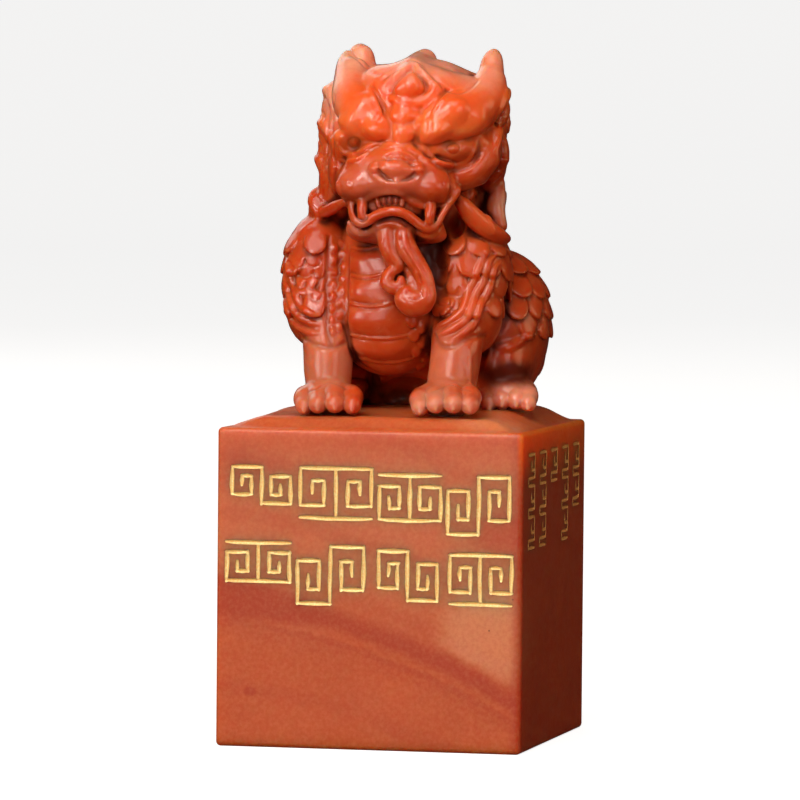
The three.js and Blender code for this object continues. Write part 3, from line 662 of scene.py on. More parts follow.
def locks(c):
    """Flowing hair at the sides of the head, between the face and the curls of the mane."""
    # swelling locks first, then fine lines along them
    for s, az0 in ((-1, 283), (1, 77)):
        for j, (z, top) in enumerate(((62.6, 1.0), (59.3, 0.9), (56.0, 0.9), (52.6, 0.8))):
            a0 = az0 - s * 2 * (j % 2)
            q = [(a0, z + 0.6), (a0 + s * -7, z + 0.5), (a0 + s * -13, z - 0.3), (a0 + s * -18, z - 1.7), (a0 + s * -17, z - 3.0)]
            strand(c, q, 0.62, (0.8, 0.5), "add", -0.22, 0.3)
        for j in range(9):
            z = 63.6 - 1.35 * j
            a0 = az0 - s * (1 if j % 2 else -1)
            q = [(a0, z), (a0 - s * 6, z + 0.15), (a0 - s * 12, z - 0.7), (a0 - s * 16, z - 2.0)]
            strand(c, q, 0.15, (0.8, 0.5), "cut", 0.05, 0.12)


def hairlines(c):
    c.groove([(334.5, 96), (333.5, 108), (332.5, 122), (333, 138), (334, 152), (335, 164)], 0.15, 0.04, 0.2)
    c.groove([(329.5, 106), (328.5, 122), (327.5, 140), (327.5, 160), (328.5, 180), (327, 196)], 0.13, 0.04, 0.15)
    c.groove([(400, 235), (402, 246), (408, 257), (414.5, 267), (419.5, 277), (422, 288), (421, 296), (415, 300), (410, 298)], 0.13, 0.05, 0.12)
    c.groove([(408, 236), (411, 247), (417, 258), (423, 268), (428, 279), (431, 290), (429, 300)], 0.12, 0.04, 0.12)
    c.groove([(384, 240), (385, 250), (390, 260), (395, 268)], 0.11, 0.04, 0.12)


def skin(c):
    # belly: pairs of lines with swelling plates between them, a row of beads on each side
    for px, py, rx, rz in ((365, 262, 1.7, 1.1), (366, 291, 1.8, 1.1), (368, 321, 2.2, 1.2), (377, 350, 2.5, 0.95)):
        c.ball(c.on(px, py, -0.72), (rx, 0.85, rz), 0.7)
    for y0, x0, x1, dip in ((248, 352, 377, 2.0), (276, 351, 380, 2.5), (305, 350, 391, 3.5), (337, 351, 412, 4), (361, 360, 414, 5)):
        m = 9
        for d, r in ((-2.3, 0.1), (2.3, 0.1)):
            c.groove([(x0 + (x1 - x0) * i / m, y0 + d - dip * (2 * i / m - 1) ** 2 + dip * 0.4) for i in range(m + 1)], r, 0.04, 0.16)
        c.ridge([(x0 + (x1 - x0) * i / m, y0 - dip * (2 * i / m - 1) ** 2 + dip * 0.4) for i in range(m + 1)], 0.12, -0.02, 0.16)
    c.groove([(349, 244), (348.5, 262), (348, 282), (347.5, 302), (347, 322), (348, 338), (352, 352), (360, 363), (372, 371), (388, 375)], 0.18, 0.06, 0.2)
    for x0, seq in ((343, ((244, 341), (255, 342), (267, 343), (279, 342), (291, 341), (303, 340), (315, 340), (327, 339.5), (339, 340))),
                    (333, ((249, 335), (261, 334), (273, 334.5), (285, 333.5), (297, 333), (309, 331.5), (321, 331.5), (333, 332)))):
        for py, px in seq:
            p = c.on(px, py, -0.16)
            if p is not None:
                c.ball(p, (0.38, 0.34, 0.5), 0.14)
    c.groove([(329, 236), (328, 252), (327.5, 270), (327, 290), (327, 310), (327.5, 330), (331, 344)], 0.2, 0.06, 0.25)
    # scales at the right of the belly
    for px, py in ((412, 321), (421, 327), (414, 335), (423, 342), (417, 351), (426, 357), (421, 365)):
        p = c.on(px, py)
        if p is not None and p[1] < -2.5:
            plate(c, p, c.normal(p, 0.5), (0.2, 0, -1), 1.2, 1.4, 0.26, 14)


def armour(c):
    """Scales over the shoulders, haunches, flanks and back."""
    rng = np.random.default_rng(7)
    spots = []
    z, j = 50.4, 0
    while z > 33.4:
        step = 12.4
        az = 13.2 + (step / 2 if j % 2 else 0)
        while az < 341:
            p, n = hit(c, az, z, (0.8, 2.4))
            if p is not None and abs(n[2]) < 0.88:
                spots.append((p, n, az, z))
            az += step
        z -= 1.95
        j += 1
    for p, n, az, z in spots:
        x, y, zz = p
        back = 150 < az < 210
        if zz > 49.6 and not back:
            continue
        if back and abs(x - 0.9) < 1.3:
            continue
        front_leg = y < -3.2
        if front_leg and (zz < 42.3 or -5.8 < x < 4.8):
            continue
        if not front_leg and zz < (39.2 if y < 7.5 else 36.5) and abs(x) > 3:
            continue
        if -3.2 <= y < -0.8 and zz < 41.0:
            continue
        w = (2.0 if front_leg else 2.45) * rng.uniform(0.94, 1.06)
        t = (0.12 * np.sign(x - 0.9), 0.25, -1.0)
        if front_leg:
            plate(c, p, n, t, w * 1.2, w * 1.4, 0.27, 10.5 + rng.uniform(-1, 1), 0.1, 0.07)
        else:
            plate(c, p, n, t, w * 1.2, w * 1.42, 0.3, 10.5 + rng.uniform(-1.5, 1.5), 0.1, 0.12)


def arcs(c):
    # shallow scale edges cut in the fronts of the shoulders
    for px, py, w, h in ((297, 260, 8, 8), (313, 259, 8, 8), (305, 270, 8, 8), (320, 271, 6, 8), (312, 281, 7, 8), (300, 282, 5, 7), (321, 284, 5, 7), (316, 294, 6, 7),
                         (442, 262, 6, 7), (441, 279, 6, 8), (452, 287, 7, 8), (443, 298, 7, 8), (455, 303, 6, 7), (445, 313, 6, 6)):
        a = np.radians(np.linspace(6, 174, 7))
        c.groove([(px + w * np.cos(t), py + h * np.sin(t)) for t in a], 0.13, 0.03, 0.1)


def fringes(c):
    # parallel bands of fur from the shoulders down to the elbows
    for q, r in (([(492, 249, 0.12), (484, 256, 0.36), (479.5, 266, 0.42), (475, 278, 0.42), (469, 289, 0.42), (466, 300, 0.42), (461, 312, 0.42), (451, 320, 0.42), (441, 325, 0.36), (433, 329, 0.15)], 0.4),
                 ([(497, 254, 0.12), (489, 262, 0.36), (485.5, 273, 0.42), (481, 285, 0.42), (475, 295, 0.42), (472, 306, 0.42), (467, 318, 0.42), (457, 326, 0.42), (446, 332, 0.36), (436, 336, 0.15)], 0.4),
                 ([(500, 262, 0.12), (494, 271, 0.36), (491, 283, 0.42), (487, 294, 0.42), (481, 304, 0.42), (478, 315, 0.42), (473, 325, 0.42), (463, 333, 0.38), (451, 339, 0.15)], 0.4),
                 ([(286, 256, 0.12), (287, 268, 0.34), (291, 279, 0.4), (294.5, 289, 0.4), (297, 299, 0.4), (302, 308, 0.4), (310, 313.5, 0.36), (320, 316, 0.14)], 0.4),
                 ([(283.5, 270, 0.12), (285, 283, 0.34), (288.5, 294, 0.4), (291, 304, 0.4), (296, 314, 0.4), (304, 320, 0.4), (313, 323.5, 0.34), (322, 325, 0.14)], 0.4),
                 ([(283, 288, 0.12), (285.5, 301, 0.34), (288, 313, 0.4), (293, 323, 0.4), (301, 329, 0.4), (310, 332.5, 0.34), (320, 334, 0.14)], 0.4),
                 ([(491, 345, 0.1), (489.5, 353, 0.26), (487, 362, 0.26), (483.5, 372, 0.1)], 0.28)):
        c.ridge(q, r, -0.08, 0.1)
    # lower edge of the upper arms
    c.groove([(303, 338), (313, 344), (325, 347), (337, 347), (345, 343)], 0.2, 0.06, 0.3)
    c.groove([(434, 335), (440, 345), (450, 347), (462, 342), (474, 337), (486, 336)], 0.2, 0.06, 0.3)
    c.ridge([(470, 350, 0.1), (470, 362, 0.22), (470, 374, 0.22), (471, 384, 0.1)], 0.2, -0.1, 0.3)
    # folds of the haunch
    c.ridge([(498, 347, 0.15), (505, 348, 0.36), (513, 345.5, 0.42), (521, 340, 0.4), (531, 335.5, 0.2)], 0.3, -0.08, 0.4)
    c.groove([(545, 304), (543, 315), (539, 326), (535, 336)], 0.2, 0.05, 0.25)
    # ankle lines of the front paws
    c.groove([(309, 391), (318, 388), (328, 382), (338, 384), (347, 389)], 0.12, 0.04, 0.2)
    c.groove([(432, 391), (441, 388), (451, 384), (461, 388), (470, 390)], 0.12, 0.04, 0.2)


def back(c):
    # spine ridge: overlapping rounded plates in the middle of the back
    for i, z in enumerate(np.linspace(66.2, 44.5, 11)):
        p, n = hit(c, 180, z, (0.9, 0.5))
        if p is None:
            continue
        up = np.cross((1, 0, 0), n)
        up = unit(up if up[2] > 0 else -up)
        c.rod([[*(p - n * 0.6 + up * 1.2), 1.0], [*(p + n * 0.1), 1.0], [*(p + n * 0.55 - up * 1.05), 0.42]], 0.2)
    # tail: a bushy flame laid up against the back
    c.rod([(0.9, 9.6, 32.8, 2.2), (0.9, 11.6, 35.2, 2.2), (0.6, 12.0, 38.4, 2.0), (1.1, 11.5, 41.2, 1.5), (1.9, 11.4, 43.4, 0.9), (1.5, 11.5, 44.8, 0.4)], 0.4)
    c.rod([(-0.4, 10.8, 34.0, 1.6), (-1.9, 11.7, 36.6, 1.5), (-2.6, 11.5, 39.2, 1.2), (-3.6, 10.7, 41.2, 0.5)], 0.25)
    c.rod([(2.2, 10.8, 34.0, 1.6), (3.6, 11.6, 36.2, 1.5), (4.3, 11.3, 38.8, 1.2), (5.3, 10.4, 41.0, 0.5)], 0.25)
    for q in (((181, 33.5), (182, 36.5), (184, 39.5), (180, 42.0), (176, 43.6)), ((172, 33.8), (173, 36.5), (175, 39.4), (172, 42.0)), ((190, 33.8), (193, 36.6), (195, 39.2), (199, 40.8)),
              ((163, 34.2), (161, 36.8), (160, 39.0), (156, 40.6)), ((199, 34.2), (203, 36.4), (205, 38.6)), ((154, 34.6), (152, 37.0), (151, 38.8))):
        rows = []
        for az, z, *_ in spline([(a, b, 0, 0) for a, b in q], 0.5):
            p, n = hit(c, az, z, (0.9, 2.0))
            if p is not None:
                rows.append([*(p + n * 0.05), 0.2])
        if len(rows) > 1:
            c.rod(rows, 0.15, mode="cut", smooth=False)


def hollows(c):
    c.ball((0.2, -0.6, 33.0), (3.5, 5.0, 2.3), 0.5, None, "cut")
    c.ball((0.2, -5.0, 33.4), (3.2, 3.4, 1.9), 0.5, None, "cut")
    c.rod([(9.4, -2.4, 47.6, 0.4), (10.0, -2.2, 44.0, 0.7), (9.9, -2.2, 40.6, 0.7), (9.8, -2.6, 38.6, 0.2)], 0.6, mode="cut")
    c.rod([(-9.6, -1.2, 47.0, 0.3), (-10.2, -1.0, 44.0, 0.6), (-9.9, -0.8, 41.0, 0.6), (-9.8, -1.2, 39.4, 0.2)], 0.6, mode="cut")


def build(h=0.25):
    c = Clay((-14.6, -14.6, 30.4), (15.6, 15.4, 68.4), h)
    masses(c)
    feet(c)
    head(c)
    armour(c)
    hair(c)
    locks(c)
    back(c)
    hollows(c)
    mouth(c)
    face(c)
    skin(c)
    arcs(c)
    fringes(c)
    hairlines(c)
    return c


# ------------------------------------------------------------ small tools
def value_noise(p, scale, seed):
    """Smooth noise between -1 and 1 at points (n, 3) or (n, 2); scale is the size of a lump in millimetres."""
    p = np.atleast_2d(np.asarray(p, float))
    if p.shape[1] == 2:
        p = np.column_stack([p, np.zeros(len(p))])
    q = p / scale + 1000.0
    i = np.floor(q).astype(np.int64)
    f = q - i
    f = f * f * (3 - 2 * f)

    def lattice(dx, dy, dz):
        n = (i[:, 0] + dx) * 374761393 + (i[:, 1] + dy) * 668265263 + (i[:, 2] + dz) * 2147483647 + seed * 974634777
        n = (n ^ (n >> 13)) * 1274126177
        n = n ^ (n >> 16)
        return (n & 0xFFFFF) / float(0xFFFFF) * 2 - 1

    out = 0.0
    for dx in (0, 1):
        for dy in (0, 1):
            for dz in (0, 1):
                w = (f[:, 0] if dx else 1 - f[:, 0]) * (f[:, 1] if dy else 1 - f[:, 1]) * (f[:, 2] if dz else 1 - f[:, 2])
                out = out + w * lattice(dx, dy, dz)
    return out


def make_object(name, points_mm, faces, smooth=True, normals=None):
    """Mesh object from points in millimetres and a list or array of faces."""
    me = bpy.data.meshes.new(name)
    faces = faces.tolist() if isinstance(faces, np.ndarray) else [list(map(int, f)) for f in faces]
    me.from_pydata((np.asarray(points_mm) * MM).tolist(), [], faces)
    me.update()
    me.polygons.foreach_set("use_smooth", np.full(len(me.polygons), smooth, bool))
    if normals is not None:
        me.normals_split_custom_set_from_vertices(normals.tolist())
    o = bpy.data.objects.new(name, me)
    bpy.context.scene.collection.objects.link(o)
    return o


# ------------------------------------------------------------ engraving: strokes on a face as plane distances
FRET_DOUBLE = [
    [[1, 2], [1, 3], [2, 3], [2, 1], [0, 1], [0, 4], [6, 4], [6, 1], [4, 1], [4, 3], [5, 3], [5, 2]],
    [[3, 4], [3, 0]],
    [[0, 0], [6, 0]],
]
FRET_TURNED = [[[1, 2], [1, 3], [2, 3], [2, 1], [0, 1], [0, 4], [3, 4], [3, 0], [6, 0], [6, 3], [4, 3], [4, 1], [5, 1], [5, 2]]]
FRONT_CELLS = [
    (-13.5, -7.75, 23.5, 27, FRET_TURNED, 0, 0),
    (-6.75, 0.25, 22.25, 27, FRET_DOUBLE, 0, 0),
    (1, 7, 22.25, 26.5, FRET_DOUBLE, 0, 1),
    (7.75, 13.75, 21, 26.5, FRET_TURNED, 1, 0),
    (-14, -7.75, 16, 19.75, FRET_DOUBLE, 0, 1),
    (-7, -0.5, 14, 19.5, FRET_TURNED, 1, 0),
    (1, 6.75, 14.5, 19.25, FRET_TURNED, 0, 0),
    (8, 14, 14.25, 19, FRET_DOUBLE, 0, 0),
]
SIDE_COLUMNS = [(-10.5, 28.5, 3), (-5.25, 28.5, 3), (0, 28.5, 1), (5.25, 28.5, 3), (10.5, 28.5, 2)]


def front_paths(cell):
    x0, x1, z0, z1, fig, mx, mz = cell
    out = []
    for path in fig:
        out.append([(x0 + ((6 - u) if mx else u) / 6 * (x1 - x0), z0 + ((4 - v) if mz else v) / 4 * (z1 - z0)) for u, v in path])
    return out


def side_paths(col):
    y, top, turns = col
    p = 0.9375
    path = [[-1.5, 0]]
    for i in range(turns):
        v = -4 * i
        path += [[1.5, v], [1.5, v - 2], [0, v - 2], [0, v - 1], [0, v - 2], [1.5, v - 2], [1.5, v - 3], [-1.5, v - 3], [-1.5, v - 4]]
    path += [[1.5, -4 * turns]]
    return [[(y + u * p, top + v * p * 0.8) for u, v in path]]


def cut_lines(paths, r, seed):
    """Each straight run of a path as its own cut of the graver: rows (x0, y0, x1, y1, r0, r1)."""
    rng = np.random.default_rng(seed)
    rows = []
    for path in paths:
        pts = [np.array(q, float) for q in path]
        for k, (a, b) in enumerate(zip(pts[:-1], pts[1:])):
            L = np.linalg.norm(b - a)
            u = (b - a) / L
            n = np.array([-u[1], u[0]])
            a2 = a - u * rng.uniform(0.02, 0.3) * r + n * rng.normal(0, 0.1) * r
            b2 = b + u * rng.uniform(0.05, 0.5) * r + n * rng.normal(0, 0.1) * r
            m = max(2, int(L / 0.9) + 1)
            bow = rng.normal(0, 0.16) * r
            last = None
            for j in range(m + 1):
                t = j / m
                q = a2 + (b2 - a2) * t + n * (bow * np.sin(np.pi * t) + rng.normal(0, 0.05) * r)
                w = r * (0.86 + 0.2 * np.sin(np.pi * min(1.0, t * 1.1 + 0.05)) + rng.normal(0, 0.07))
                if t < 0.02 or t > 0.98:
                    w *= 0.74
                if last is not None:
                    rows.append((*last[0], *q, last[1], w))
                last = (q, w)
    return np.array(rows)


def line_distance(rows, X, Y):
    """Distance from the outline of tapering cuts at points, negative inside."""
    d = np.full(X.shape, 9.0)
    for x0, y0, x1, y1, r0, r1 in rows:
        m = max(r0, r1) + 0.7
        k = (X > min(x0, x1) - m) & (X < max(x0, x1) + m) & (Y > min(y0, y1) - m) & (Y < max(y0, y1) + m)
        if not k.any():
            continue
        x, y = X[k] - x0, Y[k] - y0
        bx, by = x1 - x0, y1 - y0
        t = np.clip((x * bx + y * by) / (bx * bx + by * by + 1e-9), 0, 1)
        d[k] = np.minimum(d[k], np.hypot(x - t * bx, y - t * by) - (r0 + (r1 - r0) * t))
    return d


def contours(f, lo, hi, step, level=0.0):
    """Closed outlines of f = level on a grid, as arrays of points; f takes (X, Y)."""
    xs = np.arange(lo[0], hi[0] + step, step)
    ys = np.arange(lo[1], hi[1] + step, step)
    X, Y = np.meshgrid(xs, ys, indexing="ij")
    F = f(X, Y) - level
    F[np.abs(F) < 1e-6] = 1e-6
    S = F < 0
    code = S[:-1, :-1] + 2 * S[1:, :-1] + 4 * S[1:, 1:] + 8 * S[:-1, 1:]
    table = {1: [(3, 0)], 2: [(0, 1)], 3: [(3, 1)], 4: [(1, 2)], 5: [(3, 0), (1, 2)], 6: [(0, 2)], 7: [(3, 2)], 8: [(2, 3)], 9: [(2, 0)], 10: [(0, 1), (2, 3)], 11: [(2, 1)], 12: [(1, 3)],
             13: [(1, 0)], 14: [(0, 3)]}
    link, where = {}, {}

    def key(i, j, e):
        if e == 0:
            return (i, j, 0)
        if e == 1:
            return (i + 1, j, 1)
        if e == 2:
            return (i, j + 1, 0)
        return (i, j, 1)

    def at(k):
        i, j, a = k
        i2, j2 = (i + 1, j) if a == 0 else (i, j + 1)
        t = F[i, j] / (F[i, j] - F[i2, j2])
        return (xs[i] + (xs[i2] - xs[i]) * t, ys[j] + (ys[j2] - ys[j]) * t)

    for i, j in np.argwhere((code > 0) & (code < 15)):
        for a, b in table[int(code[i, j])]:
            link[key(i, j, a)] = key(i, j, b)
    loops = []
    while link:
        k0 = next(iter(link))
        loop, k = [], k0
        while k in link:
            loop.append(at(k))
            k = link.pop(k)
        if len(loop) > 3:
            loops.append(np.array(loop))
    return loops


def thin_out(loop, gap, keep=0.9):
    """Fewer points on an outline: points closer than gap go, unless the outline turns there."""
    out = [loop[0]]
    n = len(loop)
    for i in range(1, n):
        a, b, c = out[-1], loop[i], loop[(i + 1) % n]
        if np.hypot(*(b - a)) < 0.03:
            continue
        u, v = (b - a) / (np.hypot(*(b - a)) + 1e-9), (c - b) / (np.hypot(*(c - b)) + 1e-9)
        if np.hypot(*(b - a)) < gap and u @ v > keep:
            continue
        out.append(b)
    return np.array(out) if len(out) >= 4 else loop


def triangulate(loops, extra):
    """Triangles over outlines and loose points: (points, triangles, outline edges)."""
    pts, edges = [], []
    for L in loops:
        s = len(pts)
        pts += [tuple(p) for p in L]
        edges += [(s + i, s + (i + 1) % len(L)) for i in range(len(L))]
    pts += [tuple(p) for p in extra]
    v, e, f, ov, oe, of_ = delaunay_2d_cdt([Vector(p) for p in pts], edges, [], 0, 1e-6)
    v = np.array([tuple(q) for q in v])
    tri = np.array([list(q) for q in f])
    rim = [tuple(e[i]) for i, o in enumerate(oe) if len(o)]
    return v, tri, np.array(rim)


class Solid:
    """Collects points and faces, and joins points that are at the same place."""

    def __init__(self):
        self.p, self.f, self.n = [], [], 0

    def add(self, pts, faces):
        self.p.append(np.asarray(pts, float))
        self.f += [[int(i) + self.n for i in q] for q in faces]
        self.n += len(pts)

    def done(self):
        p = np.vstack(self.p)
        k = np.round(p * 2e4).astype(np.int64)
        u, first, inv = np.unique(k, axis=0, return_index=True, return_inverse=True)
        inv = inv.reshape(-1)
        faces = []
        for q in self.f:
            r = [int(inv[i]) for i in q]
            r = [v for i, v in enumerate(r) if v != r[i - 1]]
            if len(r) >= 3 and len(set(r)) == len(r):
                faces.append(r)
        used, back = np.unique(np.concatenate(faces), return_inverse=True)
        ends = np.cumsum([len(r) for r in faces])[:-1]
        return p[first][used], [q.tolist() for q in np.split(back.reshape(-1), ends)]


def carved_face(solid, to3d, half_u, v0, v1, ticks_u, ticks_v, dist, depth, inner_step, box):
    """One face of the block, its cuts sunk to depth. to3d(u, v, out) gives the place of a point; dist(U, V) is negative in the cuts."""
    edge = [(u, v0) for u in ticks_u] + [(half_u, v) for v in ticks_v[1:]] + [(u, v1) for u in ticks_u[::-1][1:]] + [(-half_u, v) for v in ticks_v[::-1][1:-1]]
    loops = [thin_out(L, 0.2) for L in contours(dist, box[0], box[1], 0.07)]
    gu = np.arange(-half_u + inner_step, half_u - inner_step / 2, inner_step)
    gv = np.arange(v0 + inner_step, v1 - inner_step / 2, inner_step)
    G = np.array([(u, v) for u in gu for v in gv])
    d = dist(G[:, 0], G[:, 1])
    G = G[np.abs(d) > 0.12]
    v, tri, rim = triangulate([np.array(edge)] + loops, G)
    c = v[tri].mean(1)
    inside = dist(c[:, 0], c[:, 1]) < 0
    # stone beside the cuts, then floors, then walls
    solid.add(to3d(v[:, 0], v[:, 1], 0.0), tri[~inside])
    solid.add(to3d(v[:, 0], v[:, 1], -depth), tri[inside])
    n = len(v)
    walls = []
    use = {}
    for t, ins in zip(tri, inside):
        for a, b in ((t[0], t[1]), (t[1], t[2]), (t[2], t[0])):
            use.setdefault((min(a, b), max(a, b)), []).append((a, b, ins))
    for rows in use.values():
        if len(rows) == 2 and rows[0][2] != rows[1][2]:
            a, b, _ = rows[0] if not rows[0][2] else rows[1]
            walls.append([b, a, a + n, b + n])
    solid.add(np.vstack([to3d(v[:, 0], v[:, 1], 0.0), to3d(v[:, 0], v[:, 1], -depth)]), walls)


# ------------------------------------------------------------ the block
HALF, ARRIS, TOP = 15.0, 0.45, 30.75
EDGE_IN = HALF - ARRIS


def ticks(a, b, step):
    n = max(1, int(round((b - a) / step)))
    return list(np.linspace(a, b, n + 1))


FRONT_CUTS = [cut_lines(front_paths(c), 0.21, 11 + i + (40 if i in (1, 3) else 0)) for i, c in enumerate(FRONT_CELLS)]
SIDE_CUTS = [cut_lines(side_paths(c), 0.17, 31 + i) for i, c in enumerate(SIDE_COLUMNS)]


def seal_land(X, Y):
    """Distance to the printing lines of the seal face, negative on them."""
    x, y = np.abs(X), np.abs(Y)
    wob = 0.05 * np.sin(X * 1.7 + 0.6 * Y) + 0.04 * np.sin(Y * 2.3 - X)
    d = 13.3 - np.maximum(x, y)
    d = np.minimum(d, np.maximum(x, y) - 2.0)
    for path in ([[2, 2], [5, 2], [5, 5]], [[2, 5], [2, 11], [11, 11], [11, 2], [8, 2], [8, 8], [5, 8]]):
        for (ax, ay), (bx, by) in zip(path[:-1], path[1:]):
            lx, hx, ly, hy = min(ax, bx), max(ax, bx), min(ay, by), max(ay, by)
            d = np.minimum(d, np.maximum(np.maximum(lx - x, x - hx), np.maximum(ly - y, y - hy)) - 0.5)
    return d + wob


def face_swell(u, v, seed):
    """Hand polishing leaves a face a little uneven."""
    p = np.column_stack([u, v])
    fade = np.clip((EDGE_IN - np.abs(u)) / 1.5, 0, 1)
    return (0.022 * value_noise(p, 9.0, seed) + 0.008 * value_noise(p, 3.2, seed + 5)) * fade


def block_points():
    solid = Solid()
    step = 0.6
    T = ticks(-EDGE_IN, EDGE_IN, step)
    Z = ticks(ARRIS, TOP - ARRIS, step)

    def front(u, v, out):
        fade = np.clip((np.minimum(v - ARRIS, TOP - ARRIS - v)) / 1.5, 0, 1)
        return np.column_stack([u, -HALF - out - face_swell(u, v, 1) * fade, v])

    def side(u, v, out):
        fade = np.clip((np.minimum(v - ARRIS, TOP - ARRIS - v)) / 1.5, 0, 1)
        return np.column_stack([HALF + out + face_swell(u, v, 2) * fade, u, v])

    def bottom(u, v, out):
        return np.column_stack([u, -v, np.zeros(len(u)) - out])

    front_dist = lambda U, V: np.min([line_distance(r, U, V) for r in FRONT_CUTS], 0) - 0.02
    side_dist = lambda U, V: np.min([line_distance(r, U, V) for r in SIDE_CUTS], 0) - 0.02
    seal_dist = lambda U, V: -seal_land(U, -V)
    carved_face(solid, front, EDGE_IN, ARRIS, TOP - ARRIS, T, Z, front_dist, 0.5, 0.6, ((-14.4, 13.4), (14.5, 27.7)))
    carved_face(solid, side, EDGE_IN, ARRIS, TOP - ARRIS, T, Z, side_dist, 0.5, 0.6, ((-13.0, 18.5), (13.0, 29.2)))
    carved_face(solid, bottom, EDGE_IN, -EDGE_IN, EDGE_IN, T, T, seal_dist, 0.75, 0.6, ((-13.9, -13.9), (13.9, 13.9)))

    # plain back and left faces
    def sheet(us, vs, to3d, flip):
        U, V = np.meshgrid(us, vs, indexing="ij")
        m, n = U.shape
        q = []
        for i in range(m - 1):
            for j in range(n - 1):
                f = [i * n + j, (i + 1) * n + j, (i + 1) * n + j + 1, i * n + j + 1]
                q.append(f[::-1] if flip else f)
        solid.add(to3d(U.ravel(), V.ravel()), q)

    def fade_z(v):
        return np.clip((np.minimum(v - ARRIS, TOP - ARRIS - v)) / 1.5, 0, 1)

    sheet(T, Z, lambda u, v: np.column_stack([u, np.full(len(u), HALF) + face_swell(u, v, 3) * fade_z(v), v]), True)
    sheet(T, Z, lambda u, v: np.column_stack([np.full(len(u), -HALF) - face_swell(u, v, 4) * fade_z(v), u, v]), True)

    # top: the dressed mound, as fine as its own surface needs, joined to the arris by a row of matching points
    m = 0.34
    edge = [(u, -EDGE_IN) for u in T] + [(EDGE_IN, v) for v in T[1:]] + [(u, EDGE_IN) for u in T[::-1][1:]] + [(-EDGE_IN, v) for v in T[::-1][1:-1]]
    g = np.arange(-EDGE_IN + m, EDGE_IN - m / 2, m)
    G = np.array([(u, v) for u in g for v in g])
    v, tri, _ = triangulate([np.array(edge)], G)
    rise = np.clip((EDGE_IN - np.maximum(np.abs(v[:, 0]), np.abs(v[:, 1]))) / 1.0, 0, 1)
    z = TOP + (ground(v[:, 0], v[:, 1]) - TOP) * rise + rise * (0.05 * value_noise(v, 2.4, 9) + 0.03 * value_noise(v, 1.1, 10))
    solid.add(np.column_stack([v[:, 0], v[:, 1], z]), tri)

    # rounded edges and corners
    arc = [np.pi / 2 * i / 5 for i in range(6)]
    for sx, sy in ((1, 1), (-1, 1), (-1, -1), (1, -1)):
        for i in range(5):
            a, b = arc[i], arc[i + 1]
            for z0, z1 in zip(Z[:-1], Z[1:]):
                q = [(sx * (EDGE_IN + ARRIS * np.cos(t)), sy * (EDGE_IN + ARRIS * np.sin(t)), zz) for t, zz in ((a, z0), (b, z0), (b, z1), (a, z1))]
                solid.add(q, [[0, 1, 2, 3]] if sx * sy > 0 else [[3, 2, 1, 0]])
    for s in (1, -1):
        for zc, up in ((ARRIS, -1), (TOP - ARRIS, 1)):
            for i in range(5):
                a, b = arc[i], arc[i + 1]
                for t0, t1 in zip(T[:-1], T[1:]):
                    q = [(t, s * (EDGE_IN + ARRIS * np.cos(e)), zc + up * ARRIS * np.sin(e)) for t, e in ((t0, a), (t1, a), (t1, b), (t0, b))]
                    solid.add(q, [[0, 1, 2, 3]] if s * up < 0 else [[3, 2, 1, 0]])
                    q = [(s * (EDGE_IN + ARRIS * np.cos(e)), t, zc + up * ARRIS * np.sin(e)) for t, e in ((t0, a), (t1, a), (t1, b), (t0, b))]
                    solid.add(q, [[0, 1, 2, 3]] if s * up > 0 else [[3, 2, 1, 0]])
    for sx in (1, -1):
        for sy in (1, -1):
            for zc, up in ((ARRIS, -1), (TOP - ARRIS, 1)):
                P8 = [[(sx * (EDGE_IN + ARRIS * np.cos(a) * np.cos(e)), sy * (EDGE_IN + ARRIS * np.sin(a) * np.cos(e)), zc + up * ARRIS * np.sin(e)) for a in arc] for e in arc]
                for i in range(5):
                    for j in range(5):
                        q = [P8[i][j], P8[i][j + 1], P8[i + 1][j + 1], P8[i + 1][j]]
                        solid.add(q, [[0, 1, 2, 3]] if sx * sy * up > 0 else [[3, 2, 1, 0]])
    return solid.done()


def unpinched(tri):
    """Where two parts of a sheet meet in one point only, the smaller fan of triangles is dropped."""
    tri = [tuple(int(q) for q in t) for t in tri]
    for _ in range(8):
        use, ends = {}, {}
        for t in tri:
            for a, b in ((t[0], t[1]), (t[1], t[2]), (t[2], t[0])):
                use[min(a, b), max(a, b)] = use.get((min(a, b), max(a, b)), 0) + 1
        for (a, b), m in use.items():
            if m == 1:
                ends[a] = ends.get(a, 0) + 1
                ends[b] = ends.get(b, 0) + 1
        drop = set()
        for p in [q for q, m in ends.items() if m > 2]:
            left, fans = [k for k, t in enumerate(tri) if p in t], []
            while left:
                fan, more = [left.pop()], True
                while more:
                    near = [k for k in left if any(len(set(tri[k]) & set(tri[j])) == 2 for j in fan)]
                    left = [k for k in left if k not in near]
                    fan += near
                    more = bool(near)
                fans.append(fan)
            for fan in sorted(fans, key=len)[:-1]:
                drop.update(fan)
        if not drop:
            break
        tri = [t for k, t in enumerate(tri) if k not in drop]
    return np.array(tri)


